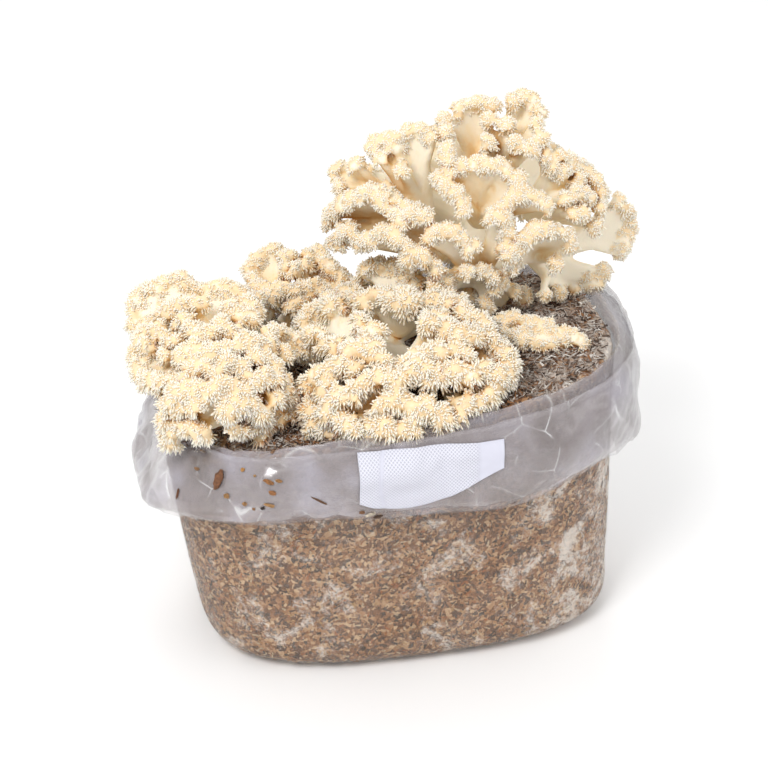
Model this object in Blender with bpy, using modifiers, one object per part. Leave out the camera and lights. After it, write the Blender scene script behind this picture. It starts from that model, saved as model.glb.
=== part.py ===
"""Coral tooth mushroom grow kit: a sawdust block in a clear bag rolled down around it,
with a filter patch on the rolled film, and five clusters of branching fungus on top.

Metres, +Z up. The origin is the middle of the bag's flat bottom. +X runs along the
block to the high end, and -Y is the front with the filter patch.
"""
import math
import random
from collections import Counter

import bmesh
import bpy
from mathutils import Matrix, Vector, noise
from mathutils.bvhtree import BVHTree

MM = 0.001

# Block: rounded oblong in plan, wider at the top, whose top face slopes up to +X
CORNER_POWER = 3.0
BOTTOM_HALF = (99.0 * MM, 64.0 * MM)
TOP_HALF = (106.0 * MM, 70.0 * MM)
TOP_SHIFT = (-10.5 * MM, 3.0 * MM)
TOP_MIDDLE = 129.0 * MM
TOP_SLOPE = 14.6 / 106.0
BASE_ROUNDING = 14.0 * MM
EDGE_ROUNDING = 4.0 * MM
WALL_LUMP = 1.1 * MM
TOP_LUMP = 2.2 * MM
MOUND_PLACE = (-8.0 * MM, 58.0 * MM)
MOUND_HEIGHT = 9.0 * MM
MOUND_REACH = 15.0 * MM

# Bag: one film, up the wall, folded out over the rim and down again as a loose collar
FILM = 0.7 * MM
GAP = 0.3 * MM
FOLD_RISE = 3.0 * MM
FOLD_ROOM = 4.0 * MM
SLUMP = 9.0 * MM
BLOCK_SLUMP = 1.25
CLOSEST = 1.3 * MM
HEM_LEFT = 76.0 * MM
HEM_FRONT = 91.0 * MM
HEM_RIGHT = 99.0 * MM
HEM_RIGHT_END = 82.0 * MM
CREASE = 1.6 * MM
COLUMNS = 40
WALL_LEVELS = (0.4, 0.75)

# Filter patch on the front of the collar
PATCH_FROM = -37.0 * MM
PATCH_TO = 27.0 * MM
PATCH_LOW = 102.0 * MM
PATCH_HIGH = 129.0 * MM
PATCH_THICK = 0.6 * MM
INNER_FACE = -74.0 * MM

# Fungus: voxel size of the joined forms, and how far the coarse teeth stand out
VOXEL = 2.3 * MM
SKIN_TRIES = 20
TOOTH = 1.7 * MM
TOOTH_ROOM = 1.2 * MM
FORK_ROOMS = (0.9, 1.1, 1.3, 1.0, 1.2, 0.8, 1.5, 1.4, 1.7, 0.7, 1.6, 1.9, 2.1)
TRIANGLES_PER_LOBE = 7
CORE_TRIANGLES = 100
FAR_LOBE = 6.0
FAR_REACH = 24
SHOOT_REACH = 16.0 * MM


def clear_scene():
    for item in list(bpy.data.objects):
        bpy.data.objects.remove(item, do_unlink=True)


def new_collection(name):
    group = bpy.data.collections.new(name)
    bpy.context.scene.collection.children.link(group)
    return group


def surface(name, colour, roughness, alpha=1.0):
    material = bpy.data.materials.new(name)
    material.use_nodes = True
    shader = material.node_tree.nodes["Principled BSDF"]
    shader.inputs["Base Color"].default_value = (*colour, 1.0)
    shader.inputs["Roughness"].default_value = roughness
    shader.inputs["Alpha"].default_value = alpha
    return material


def mesh_object(name, mesh, group, material=None):
    item = bpy.data.objects.new(name, mesh)
    group.objects.link(item)
    if material:
        mesh.materials.clear()
        mesh.materials.append(material)
    return item


def frozen(item, group, name=None):
    """The evaluated mesh of an object as a new plain object; the old one is removed."""
    graph = bpy.context.evaluated_depsgraph_get()
    mesh = bpy.data.meshes.new_from_object(item.evaluated_get(graph))
    mesh.transform(item.matrix_world)
    name = name or item.name
    bpy.data.objects.remove(item, do_unlink=True)
    return mesh_object(name, mesh, group)


def smooth_step(low, high, value):
    t = min(1.0, max(0.0, (value - low) / (high - low)))
    return t * t * (3.0 - 2.0 * t)


def blend(a, b, t):
    return a + (b - a) * t


def unit_outline(angle):
    c, s = math.cos(angle), math.sin(angle)
    reach = (abs(c) ** CORNER_POWER + abs(s) ** CORNER_POWER) ** (-1.0 / CORNER_POWER)
    return reach * c, reach * s


def top_height(x):
    return TOP_MIDDLE + TOP_SLOPE * (x - TOP_SHIFT[0])


def wall_point(angle, level, out=0.0, height=None):
    """A point of the wall: level 0 at the floor, 1 at the top edge, moved out sideways."""
    ux, uy = unit_outline(angle)
    half_x = blend(BOTTOM_HALF[0], TOP_HALF[0], level) + out
    half_y = blend(BOTTOM_HALF[1], TOP_HALF[1], level) + out
    x = TOP_SHIFT[0] * level + half_x * ux
    y = TOP_SHIFT[1] * level + half_y * uy
    edge_x = TOP_SHIFT[0] + TOP_HALF[0] * ux
    z = top_height(edge_x) * level if height is None else height
    lump = WALL_LUMP * noise.noise(Vector((ux * 3.1, uy * 3.1, level * 2.6)))
    lump *= smooth_step(0.0, 0.25, level)
    return Vector((x + lump * ux, y + lump * uy, z))


def level_at(angle, height):
    ux = unit_outline(angle)[0]
    return height / top_height(TOP_SHIFT[0] + TOP_HALF[0] * ux)


def angles(count):
    return [2.0 * math.pi * k / count for k in range(count)]


def loft(name, rings, group, close_bottom=True, close_top=False):
    """Rings of points, bottom first, joined by quads; an end may be closed by a face."""
    build = bmesh.new()
    rows = [[build.verts.new(p) for p in ring] for ring in rings]
    count = len(rows[0])
    for low, high in zip(rows, rows[1:]):
        for k in range(count):
            n = (k + 1) % count
            build.faces.new((low[k], low[n], high[n], high[k]))
    for wanted, row, turn in ((close_bottom, rows[0], -1), (close_top, rows[-1], 1)):
        if wanted:
            cap = build.faces.new(row[::turn])
            bmesh.ops.poke(build, faces=[cap])
    mesh = bpy.data.meshes.new(name)
    build.to_mesh(mesh)
    build.free()
    return mesh_object(name, mesh, group)


def base_rings(inset, floor):
    """Rings of the rounded bottom edge, from the flat floor up to the plain wall."""
    rings = []
    for step in range(3):
        turn = math.radians(45.0 * step)
        back = BASE_ROUNDING * (1.0 - math.sin(turn)) + inset
        height = floor + (BASE_ROUNDING - floor) * (1.0 - math.cos(turn))
        rings.append([wall_point(a, height / TOP_MIDDLE, -back, height) for a in angles(COLUMNS)])
    return rings


def top_relief(x, y):
    """Height of the block's bare top: a sloping plane, lumps, and a mound at the back."""
    lump = TOP_LUMP * noise.noise(Vector((x * 42.0, y * 42.0, 0.7)))
    away = math.hypot(x - MOUND_PLACE[0], y - MOUND_PLACE[1]) / MOUND_REACH
    mound = MOUND_HEIGHT * math.exp(-away * away)
    return top_height(x) + lump + mound


def make_block(group, material):
    inset = FILM + GAP + 0.3 * MM
    rings = base_rings(inset, inset)
    for level in WALL_LEVELS:
        rings.append([wall_point(a, level, -inset - 0.15 * slump(a)) for a in angles(COLUMNS)])
    rims = ((0.0, 1.0), (0.3, 0.35), (1.0, 0.0))
    for inward, drop in rims:
        ring = []
        for a in angles(COLUMNS):
            level = 1.0 - drop * EDGE_ROUNDING / TOP_MIDDLE
            sunk = BLOCK_SLUMP * slump(a)
            p = wall_point(a, level, -inset - inward * EDGE_ROUNDING - sunk)
            p.z = blend(top_height(p.x), top_relief(p.x, p.y), inward) - drop * EDGE_ROUNDING
            ring.append(p)
        rings.append(ring)
    for share in (0.78, 0.5, 0.22):
        ring = []
        for a in angles(COLUMNS):
            ux, uy = unit_outline(a)
            x = TOP_SHIFT[0] + TOP_HALF[0] * share * ux
            y = TOP_SHIFT[1] + TOP_HALF[1] * share * uy
            ring.append(Vector((x, y, top_relief(x, y))))
        rings.append(ring)
    block = loft("substrate_block", rings, group, close_top=True)
    block.data.materials.append(material)
    block.modifiers.new("facets", 'TRIANGULATE')
    return block


def hem_height(angle):
    """The hem runs level on the left and front and dips again round the right end."""
    ux, uy = unit_outline(angle)
    front = blend(HEM_FRONT, HEM_RIGHT, smooth_step(0.3, 0.85, ux))
    front = blend(front, HEM_LEFT, smooth_step(0.6, 1.0, -ux) * smooth_step(-0.9, -0.1, uy))
    end = smooth_step(0.75, 1.0, ux) * smooth_step(-0.95, -0.3, uy)
    return blend(front, HEM_RIGHT_END, end) + 2.0 * MM * math.sin(3.0 * angle + 1.0)


# Collar from the fold down to the hem: share of the way down, then how many mm it stands
# out from the wall at the front, the left end, the right front corner and the right end
COLLAR_ROWS = (
    (0.08, 9.5, -7.0, 7.0, 11.0),
    (0.25, 13.4, -2.0, 9.0, 16.0),
    (0.52, 15.0, 6.0, 10.0, 18.0),
    (0.84, 12.6, 14.0, 8.7, 10.0),
    (1.0, 9.0, 8.5, 2.5, 1.6),
)


def slump(angle):
    """How far the block's upper edge has sunk inwards at the left end."""
    return SLUMP * smooth_step(0.55, 1.0, -unit_outline(angle)[0])


def stand_out(angle, row):
    _, front, left, corner, right = COLLAR_ROWS[row]
    ux, uy = unit_outline(angle)
    out = blend(front, left, smooth_step(0.45, 1.0, -ux))
    end = blend(corner, right, smooth_step(-0.7, 0.4, uy))
    return blend(out, end, smooth_step(0.45, 1.0, ux)) * MM


def crease(angle, row):
    """Broad crumples of the loose film, in and out."""
    wave = math.sin(7.0 * angle + 1.3 * row) + 0.7 * math.sin(13.0 * angle - 2.1 * row + 0.8)
    return CREASE * 0.6 * wave


def fold_rise(angle):
    """How far the fold stands above the block's edge: most on the left of the front."""
    ux, uy = unit_outline(angle)
    lift = smooth_step(0.0, 0.6, -uy) * math.exp(-((ux + 0.5) / 0.35) ** 2)
    return FOLD_RISE + 4.0 * MM * lift


def collar_point(angle, row):
    ux = unit_outline(angle)[0]
    down = COLLAR_ROWS[row][0]
    fold_z = top_height(TOP_SHIFT[0] + TOP_HALF[0] * ux) + fold_rise(angle)
    height = blend(fold_z, hem_height(angle), down)
    out = stand_out(angle, row) + crease(angle, row) * smooth_step(0.0, 0.4, down)
    out = max(out, CLOSEST - slump(angle) * (1.0 - down))
    return wall_point(angle, level_at(angle, height), out, height)


def make_bag(group, material):
    rings = base_rings(0.0, 0.0)
    for level in WALL_LEVELS:
        rings.append([wall_point(a, level) for a in angles(COLUMNS)])
    rings.append([wall_point(a, 0.985, -slump(a)) for a in angles(COLUMNS)])
    for out_share, rise_share in ((0.15, 0.7), (0.7, 1.0)):
        fold = []
        for a in angles(COLUMNS):
            room = FOLD_ROOM * out_share * (1.0 - 0.6 * slump(a) / SLUMP)
            edge = wall_point(a, 1.0, room - slump(a))
            edge.z += fold_rise(a) * rise_share
            fold.append(edge)
        rings.append(fold)
    for row in range(len(COLLAR_ROWS)):
        rings.append([collar_point(a, row) for a in angles(COLUMNS)])
    bag = loft("grow_bag", rings, group)
    bag.data.materials.append(material)
    shell = bag.modifiers.new("film", 'SOLIDIFY')
    shell.thickness = FILM
    shell.offset = -1.0
    bag.modifiers.new("facets", 'TRIANGULATE')
    return bag


def make_patch(bag, group, cutters, material):
    """A patch of filter cloth: a piece of the collar's own outer face, moved clear of it."""
    graph = bpy.context.evaluated_depsgraph_get()
    mesh = bpy.data.meshes.new_from_object(bag.evaluated_get(graph))
    build = bmesh.new()
    build.from_mesh(mesh)
    build.normal_update()
    behind = [f for f in build.faces if f.normal.y > -0.3 or f.calc_center_median().y > -0.05]
    bmesh.ops.delete(build, geom=behind, context='FACES')
    sides = (((PATCH_FROM, 0, 0), (-1, 0, 0)), ((PATCH_TO, 0, 0), (1, 0, 0)),
             ((0, 0, PATCH_LOW), (0, 0, -1)), ((0, 0, PATCH_HIGH), (0, 0, 1)))
    for place, outward in sides:
        everything = build.verts[:] + build.edges[:] + build.faces[:]
        bmesh.ops.bisect_plane(build, geom=everything, plane_co=place, plane_no=outward,
                               clear_outer=True)
    inner = [f for f in build.faces if f.calc_center_median().y > INNER_FACE]
    bmesh.ops.delete(build, geom=inner, context='FACES')
    bmesh.ops.triangulate(build, faces=build.faces)
    build.to_mesh(mesh)
    build.free()
    patch = mesh_object("filter_patch", mesh, cutters)
    lift = patch.modifiers.new("lift", 'DISPLACE')
    lift.mid_level = 0.0
    lift.strength = 1.3 * GAP
    thick = patch.modifiers.new("cloth", 'SOLIDIFY')
    thick.thickness = PATCH_THICK
    thick.offset = 1.0
    patch = frozen(patch, group)
    patch.data.materials.clear()
    patch.data.materials.append(material)
    return patch


# Every rim is a ruffled edge where lobes stand: left end, middle and right end in mm,
# as seen from the front, and the number of lobes along it. Rims grow from their fork.
REAR = {
    "rear_crown": ((46, 38, 192), 5.7, (
        ("right knob", (58, 34, 236), (65, 38, 237), (69, 30, 233), 4),
        ("right knob low", (65, 22, 230), (65, 16, 226), (60, 12, 222), 3),
        ("neck tuft", (51, 22, 231), (52, 18, 228), (53, 15, 225), 2),
        ("crown", (26, 30, 233), (38, 36, 236), (48, 34, 235), 5),
        ("crown left chain", (25, 23, 230), (24, 16, 224), (24, 12, 219), 3),
        ("crown inner", (45, 25, 233), (43, 21, 229), (42, 17, 225), 2))),
    "rear_left": ((17, 33, 186), 5.6, (
        ("crown left", (4, 30, 225), (12, 29, 229), (18, 23, 226), 4),
        ("left top", (0, 33, 224), (-6, 33, 221), (-4, 27, 217), 4),
        ("left top inner", (3, 28, 221), (3, 24, 217), (4, 20, 214), 2),
        ("left bud", (-14, 32, 213), (-20, 42, 208), (-21, 34, 203), 4),
        ("left shelf", (-25, 37, 188), (-21, 28, 197), (-13, 20, 204), 5),
        ("left shelf low", (-25, 40, 182), (-24, 32, 180), (-22, 26, 179), 2),
        ("left ridge", (-9, 20, 205), (-3, 14, 200), (2, 9, 196), 4))),
    "rear_low_left": ((24, 26, 170), 5.8, (
        ("lower left", (-24, 31, 177), (-21, 22, 186), (-15, 16, 184), 4),
        ("lower left front", (-11, 12, 186), (-4, 8, 190), (4, 4, 183), 5),
        ("middle left", (-4, 21, 205), (1, 16, 200), (9, 11, 197), 4),
        ("middle ledge", (0, 10, 195), (5, 8, 197), (11, 5, 197), 3),
        ("lower mid", (4, 3, 178), (9, 1, 181), (15, 1, 175), 4))),
    "rear_middle": ((42, 27, 184), 5.8, (
        ("middle fan", (20, 11, 213), (32, 11, 218), (45, 9, 217), 6),
        ("middle fan right", (48, 8, 216), (53, 6, 212), (53, 4, 207), 3),
        ("middle fan drop", (21, 6, 211), (26, 4, 207), (28, 1, 201), 4),
        ("front fan", (43, 0, 200), (55, 3, 205), (65, 2, 199), 6))),
    "rear_front": ((40, 20, 158), 5.8, (
        ("front drop", (40, -1, 197), (47, -2, 194), (46, -3, 181), 5),
        ("lower centre", (12, 2, 187), (21, 0, 192), (31, -2, 183), 6),
        ("lower front", (30, -1, 172), (41, 0, 168), (40, 5, 151), 5),
        ("lower front left", (16, 3, 172), (21, 3, 166), (23, 6, 159), 3),
        ("lower tan", (46, 6, 162), (53, 12, 153), (60, 18, 148), 3))),
    "rear_right": ((67, 30, 184), 5.7, (
        ("right crown", (68, 14, 218), (80, 18, 214), (89, 20, 206), 5),
        ("right crown low", (93, 19, 201), (96, 18, 196), (93, 13, 191), 3),
        ("right inner", (71, 14, 213), (77, 14, 208), (84, 15, 204), 3),
        ("right mid", (75, 6, 200), (81, 8, 201), (87, 10, 199), 3),
        ("right mid low", (79, 4, 193), (84, 6, 193), (90, 9, 184), 3))),
    "rear_arm": ((68, 27, 164), 5.8, (
        ("right arm", (107, 24, 188), (115, 29, 174), (109, 25, 162), 6),
        ("right front", (55, -2, 187), (66, -1, 189), (76, 2, 182), 5),
        ("right front drop", (77, 2, 178), (75, 2, 174), (72, 2, 170), 2),
        ("right front tuft", (53, -3, 182), (48, -4, 180), (51, -1, 172), 3),
        ("lower right", (70, 10, 153), (83, 21, 148), (94, 22, 149), 4),
        ("lower right end", (101, 22, 154), (101, 22, 150), (97, 21, 149), 2))),
}
FRONT = {
    "front_top": ((-2, 2, 144), 6.2, (
        ("top fan", (-10, 22, 163), (1, 22, 165), (6, 17, 161), 5),
        ("top right lobes", (8, 12, 159), (4, -3, 162), (-1, -9, 164), 2),
        ("upper step", (-18, -4, 162), (-10, -3, 163), (-3, -14, 163), 5),
        ("crest", (0, -13, 164), (9, -10, 163), (16, -15, 162), 4),
        ("crest back", (13, -1, 162), (17, -8, 162), (21, -11, 161), 3))),
    "front_left": ((-26, -14, 137), 6.2, (
        ("upper left", (-29, 5, 157), (-22, 17, 155), (-20, -2, 161), 4),
        ("left arm", (-44, 8, 146), (-37, 12, 151), (-32, 4, 156), 4),
        ("left arm low", (-43, -14, 152), (-40, -25, 154), (-36, -31, 155), 3),
        ("spiny fan", (-25, -22, 161), (-21, -31, 160), (-25, -37, 157), 3),
        ("left fan", (-43, -38, 147), (-37, -39, 151), (-31, -44, 151), 4),
        ("left tan top", (-50, -35, 140), (-46, -38, 145), (-43, -45, 143), 3),
        ("left tan", (-51, -40, 129), (-48, -46, 134), (-43, -52, 133), 4),
        ("left tan low", (-50, -48, 127), (-45, -52, 127), (-41, -54, 127), 3))),
    "front_middle": ((-5, -28, 138), 6.2, (
        ("bowl", (2, -33, 162), (8, -28, 162), (12, -36, 160), 4),
        ("bowl right", (14, -40, 158), (19, -36, 159), (22, -39, 157), 3),
        ("middle ledge", (4, -48, 156), (10, -46, 156), (15, -48, 154), 3),
        ("middle tuft", (-8, -49, 156), (-5, -48, 158), (-2, -50, 156), 2),
        ("centre fan", (-32, -39, 156), (-25, -40, 158), (-18, -48, 156), 5),
        ("bright fan", (-13, -55, 152), (-6, -54, 154), (0, -58, 151), 4))),
    "front_right": ((14, -30, 138), 6.2, (
        ("right ridge", (20, -17, 162), (24, -27, 160), (28, -34, 157), 4),
        ("right edge", (30, -37, 155), (34, -42, 151), (36, -48, 147), 4),
        ("right shelf", (4, -57, 151), (10, -55, 151), (16, -56, 149), 3),
        ("right low shelf", (19, -53, 150), (26, -53, 148), (33, -53, 144), 4),
        ("right hang", (28, -55, 144), (24, -60, 141), (19, -62, 139), 3),
        ("right foot", (11, -64, 140), (10, -66, 136), (5, -66, 133), 3))),
    "front_petals": ((-15, -42, 131), 6.0, (
        ("centre low fan", (-31, -54, 147), (-23, -54, 151), (-15, -58, 150), 5),
        ("left petals", (-43, -54, 136), (-40, -53, 143), (-34, -55, 145), 4),
        ("petals left", (-38, -60, 134), (-32, -63, 132), (-26, -65, 132), 4),
        ("petals high", (-24, -62, 142), (-16, -63, 144), (-9, -66, 141), 5),
        ("petals", (-23, -67, 134), (-17, -68, 132), (-11, -69, 134), 4),
        ("petals right", (-6, -66, 142), (-2, -67, 140), (2, -69, 136), 4))),
}
LEFT = {
    "left_outer": ((-104, -5, 144), 5.6, (
        ("outer top", (-119, 22, 159), (-116, 26, 161), (-111, 26, 162), 4),
        ("outer low", (-120, 19, 155), (-119, 15, 153), (-116, 10, 152), 3),
        ("outer mid", (-117, 3, 153), (-119, -3, 152), (-117, -12, 155), 3),
        ("outer face", (-112, -6, 159), (-110, -15, 159), (-106, -22, 160), 3),
        ("left edge", (-121, -8, 149), (-121, -17, 147), (-119, -24, 146), 4),
        ("underside", (-117, -29, 148), (-112, -36, 150), (-105, -40, 153), 4))),
    "left_top": ((-92, 6, 146), 5.6, (
        ("top", (-110, 26, 162), (-103, 28, 165), (-96, 27, 165), 5),
        ("top step", (-95, 25, 162), (-92, 21, 160), (-92, 4, 165), 2),
        ("back top", (-87, 21, 161), (-80, 22, 162), (-74, 19, 161), 4),
        ("back end", (-73, 17, 160), (-71, 8, 160), (-69, 2, 160), 3),
        ("inner", (-110, 18, 157), (-106, 5, 161), (-100, 4, 164), 4),
        ("inner right", (-101, -11, 164), (-98, -16, 163), (-96, -23, 162), 3),
        ("cleft right", (-90, -21, 163), (-86, -17, 164), (-82, -21, 163), 3),
        ("saddle", (-81, -7, 165), (-77, -11, 164), (-72, -11, 163), 3))),
    "left_middle": ((-84, -22, 140), 5.6, (
        ("face", (-110, -26, 157), (-104, -31, 158), (-99, -31, 160), 3),
        ("face right", (-99, -31, 161), (-93, -34, 160), (-87, -34, 161), 4),
        ("waist", (-82, -33, 161), (-76, -29, 160), (-68, -27, 157), 4),
        ("waist low", (-75, -36, 157), (-70, -35, 155), (-66, -36, 151), 3),
        ("middle row", (-102, -39, 155), (-97, -39, 157), (-91, -43, 155), 3),
        ("middle row right", (-86, -40, 157), (-81, -41, 156), (-77, -44, 152), 3),
        ("bridge", (-66, -20, 158), (-58, -5, 151), (-50, -5, 147), 4),
        ("bridge low", (-60, -24, 151), (-53, -9, 145), (-47, -12, 144), 3))),
    "left_foot": ((-88, -34, 130), 5.6, (
        ("low row", (-108, -43, 148), (-102, -46, 150), (-96, -49, 149), 4),
        ("low row mid", (-94, -49, 150), (-88, -48, 152), (-82, -49, 149), 4),
        ("low row right", (-77, -46, 150), (-70, -41, 150), (-62, -38, 144), 4),
        ("low right", (-68, -45, 142), (-61, -37, 138), (-56, -35, 132), 4),
        ("foot top", (-112, -42, 141), (-107, -45, 144), (-102, -50, 144), 4),
        ("foot edge", (-113, -41, 133), (-112, -37, 126), (-111, -40, 123), 3),
        ("foot", (-109, -43, 130), (-104, -49, 134), (-99, -51, 132), 4),
        ("front face", (-89, -54, 143), (-82, -52, 144), (-75, -50, 139), 4),
        ("front low", (-87, -53, 134), (-82, -50, 131), (-75, -46, 127), 3),
        ("front right", (-75, -48, 132), (-69, -43, 129), (-61, -37, 129), 4))),
}
BACK_LEFT = {
    "back_left_crown": ((-49, 50, 138), 5.2, (
        ("top left", (-59, 61, 155), (-54, 62, 158), (-49, 61, 159), 5),
        ("top end", (-46, 61, 158), (-45, 53, 159), (-47, 47, 157), 3),
        ("left", (-62, 57, 154), (-61, 49, 153), (-60, 44, 150), 3),
        ("left face", (-58, 43, 151), (-57, 40, 148), (-55, 38, 146), 3),
        ("saddle", (-52, 39, 150), (-48, 40, 152), (-44, 38, 150), 3))),
    "back_left_arm": ((-36, 50, 138), 5.2, (
        ("small top", (-42, 45, 156), (-39, 47, 157), (-37, 48, 158), 2),
        ("right top", (-34, 55, 158), (-29, 60, 158), (-27, 55, 156), 4),
        ("right slope", (-26, 50, 156), (-23, 47, 153), (-20, 45, 150), 4),
        ("middle", (-40, 39, 150), (-36, 39, 151), (-31, 38, 148), 3),
        ("right low", (-29, 40, 149), (-24, 40, 147), (-20, 41, 143), 3),
        ("skirt", (-46, 36, 144), (-41, 36, 144), (-34, 36, 140), 4))),
}
SPROUT = {
    "side_sprout": ((58, 0, 138), 4.8, (
        ("top", (46, -6, 146), (51, -6, 148), (56, -9, 147), 4),
        ("right", (58, -10, 147), (62, -10, 146), (67, -12, 145), 3),
        ("left", (46, -12, 143), (49, -14, 143), (52, -18, 143), 3),
        ("middle", (55, -14, 146), (60, -14, 145), (65, -16, 144), 3),
        ("low", (58, -24, 143), (63, -25, 143), (68, -22, 143), 3),
        ("tip", (71, -18, 144), (75, -22, 144), (77, -27, 143), 3))),
}
# Each cluster's thick core, from which its branches fork: its balls in mm with a radius.
# The core also bears the lobes of the hidden far side, as mirror images about a middle y
CORES = {
    "rear_trunk": (((46, 36, 137, 15), (47, 38, 150, 14), (48, 54, 170, 11)), REAR, 40),
    "front_stem": (((-8, -12, 127, 17), (-8, 2, 134, 10), (-8, 10, 138, 8)), FRONT, -8),
    "left_stem": (((-90, -6, 120, 16), (-91, 4, 130, 11), (-90, 14, 136, 8)), LEFT, 2),
    "back_left_stem": (((-44, 51, 125, 8), (-42, 51, 130, 7)), BACK_LEFT, None),
}


def along_rim(left, middle, right, count):
    """Lobe centres evenly along the arc through a rim's three points."""
    a, b, c = Vector(left), Vector(middle), Vector(right)
    control = b * 2.0 - (a + c) * 0.5
    spots = []
    for k in range(count):
        t = k / (count - 1)
        spot = a * (1 - t) ** 2 + control * 2 * t * (1 - t) + c * t * t
        spots.append(spot * MM)
    return spots


def far_rims(cluster, middle_y):
    """Mirror images of a cluster's front rims, for its hidden far side."""
    far = []
    for _, _, rims in cluster.values():
        for name, left, middle, right, count in rims:
            twin = [(p[0] + 3, 2 * middle_y - p[1] - 4, p[2] - 5) for p in (left, middle, right)]
            bare = top_height(twin[1][0] * MM) / MM
            if middle[1] < middle_y - FAR_REACH and twin[1][2] > bare + 9:
                far.append((name + " far", *twin, max(2, count - 1)))
    return far


def add_ball(build, centre, radius):
    place = Matrix.Translation(centre)
    bmesh.ops.create_icosphere(build, subdivisions=1, radius=radius * 1.05, matrix=place)


def limb_curve(name, limbs, group):
    """Tapered limbs, each a line of points with radii, as one bevelled curve."""
    curve = bpy.data.curves.new(name, 'CURVE')
    curve.dimensions = '3D'
    curve.bevel_depth = 1.0
    curve.bevel_resolution = 1
    curve.use_fill_caps = True
    for points in limbs:
        line = curve.splines.new('POLY')
        line.points.add(len(points) - 1)
        for spot, (place, radius) in zip(line.points, points):
            spot.co = (*place, 1.0)
            spot.radius = radius
    item = bpy.data.objects.new(name, curve)
    group.objects.link(item)
    return item


def is_sound(item):
    """True where every edge joins two faces and no two faces cross."""
    mesh = item.data
    mesh.calc_loop_triangles()
    corners = [tuple(sorted(triangle.vertices)) for triangle in mesh.loop_triangles]
    sides = Counter()
    for a, b, c in corners:
        sides.update(((a, b), (b, c), (a, c)))
    closed = all(count == 2 for count in sides.values())
    tree = BVHTree.FromPolygons([v.co.copy() for v in mesh.vertices], corners)
    pairs = [(set(corners[a]), set(corners[b])) for a, b in tree.overlap(tree) if a < b]
    return closed and all(one & other for one, other in pairs)


def grown_form(name, limbs, balls, voxel, target, cutters):
    """Limbs and lobes melted into one skin, tried again with wider voxels if it is faulty."""
    for step in range(SKIN_TRIES):
        size = voxel * (1.0 + 0.017 * step)
        form = melted_form(name, limbs, balls, size, target, cutters)
        if is_sound(form):
            break
        if step < SKIN_TRIES - 1:
            bpy.data.objects.remove(form, do_unlink=True)
    return form


def melted_form(name, limbs, balls, voxel, target, cutters):
    """Limbs and lobes melted into one skin by a voxel remesh, then thinned out."""
    curve = limb_curve(name + "_limbs", limbs, cutters)
    form = frozen(curve, cutters, name)
    build = bmesh.new()
    build.from_mesh(form.data)
    bmesh.ops.remove_doubles(build, verts=build.verts, dist=1e-6)
    for centre, radius in balls:
        add_ball(build, centre, radius)
    build.to_mesh(form.data)
    build.free()
    skin = form.modifiers.new("skin", 'REMESH')
    skin.mode = 'VOXEL'
    skin.voxel_size = voxel
    form = frozen(form, cutters, name)
    keep_body(form.data, 0)
    soften = form.modifiers.new("soften", 'SMOOTH')
    soften.factor = 0.5
    soften.iterations = 1
    thin = form.modifiers.new("thin", 'DECIMATE')
    thin.use_collapse_triangulate = True
    thin.ratio = min(1.0, target / max(1, 2 * len(form.data.polygons)))
    return frozen(form, cutters, name)


def separate_bodies(build):
    """The sets of joined corners in a mesh, largest first."""
    unseen = set(build.verts)
    bodies = []
    while unseen:
        stack = [unseen.pop()]
        body = set(stack)
        while stack:
            for edge in stack.pop().link_edges:
                for vert in edge.verts:
                    if vert in unseen:
                        unseen.discard(vert)
                        body.add(vert)
                        stack.append(vert)
        bodies.append(body)
    return sorted(bodies, key=body_reach, reverse=True)


def body_reach(body):
    """Diagonal of a body's box."""
    spans = [max(v.co[k] for v in body) - min(v.co[k] for v in body) for k in range(3)]
    return math.hypot(*spans)


def keep_body(mesh, rank):
    """Leaves one separate body of a mesh, by its rank in size."""
    build = bmesh.new()
    build.from_mesh(mesh)
    bodies = separate_bodies(build)
    extra = [vert for k, body in enumerate(bodies) if k != rank for vert in body]
    bmesh.ops.delete(build, geom=extra, context='VERTS')
    build.to_mesh(mesh)
    build.free()


def drop_crumbs(mesh):
    """Removes bodies too small to see that a cut has left."""
    build = bmesh.new()
    build.from_mesh(mesh)
    small = [v for body in separate_bodies(build) if body_reach(body) < SHOOT_REACH for v in body]
    if len(small) < len(build.verts):
        bmesh.ops.delete(build, geom=small, context='VERTS')
    build.to_mesh(mesh)
    build.free()


def side_shoots(item, group):
    """Parts of a branch that its neighbours' room cut free become pieces of their own."""
    build = bmesh.new()
    build.from_mesh(item.data)
    bodies = separate_bodies(build)
    wanted = [k for k, body in enumerate(bodies) if k > 0 and body_reach(body) > SHOOT_REACH]
    build.free()
    shoots = []
    for k in wanted:
        shoot = mesh_object(f"{item.name}_shoot_{len(shoots) + 1}", item.data.copy(), group)
        keep_body(shoot.data, k)
        shoots.append(shoot)
    keep_body(item.data, 0)
    return [item] + shoots


def solid_tree(item):
    graph = bpy.context.evaluated_depsgraph_get()
    mesh = bpy.data.meshes.new_from_object(item.evaluated_get(graph))
    spots = [v.co.copy() for v in mesh.vertices]
    faces = [tuple(p.vertices) for p in mesh.polygons]
    return BVHTree.FromPolygons(spots, faces)


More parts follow.
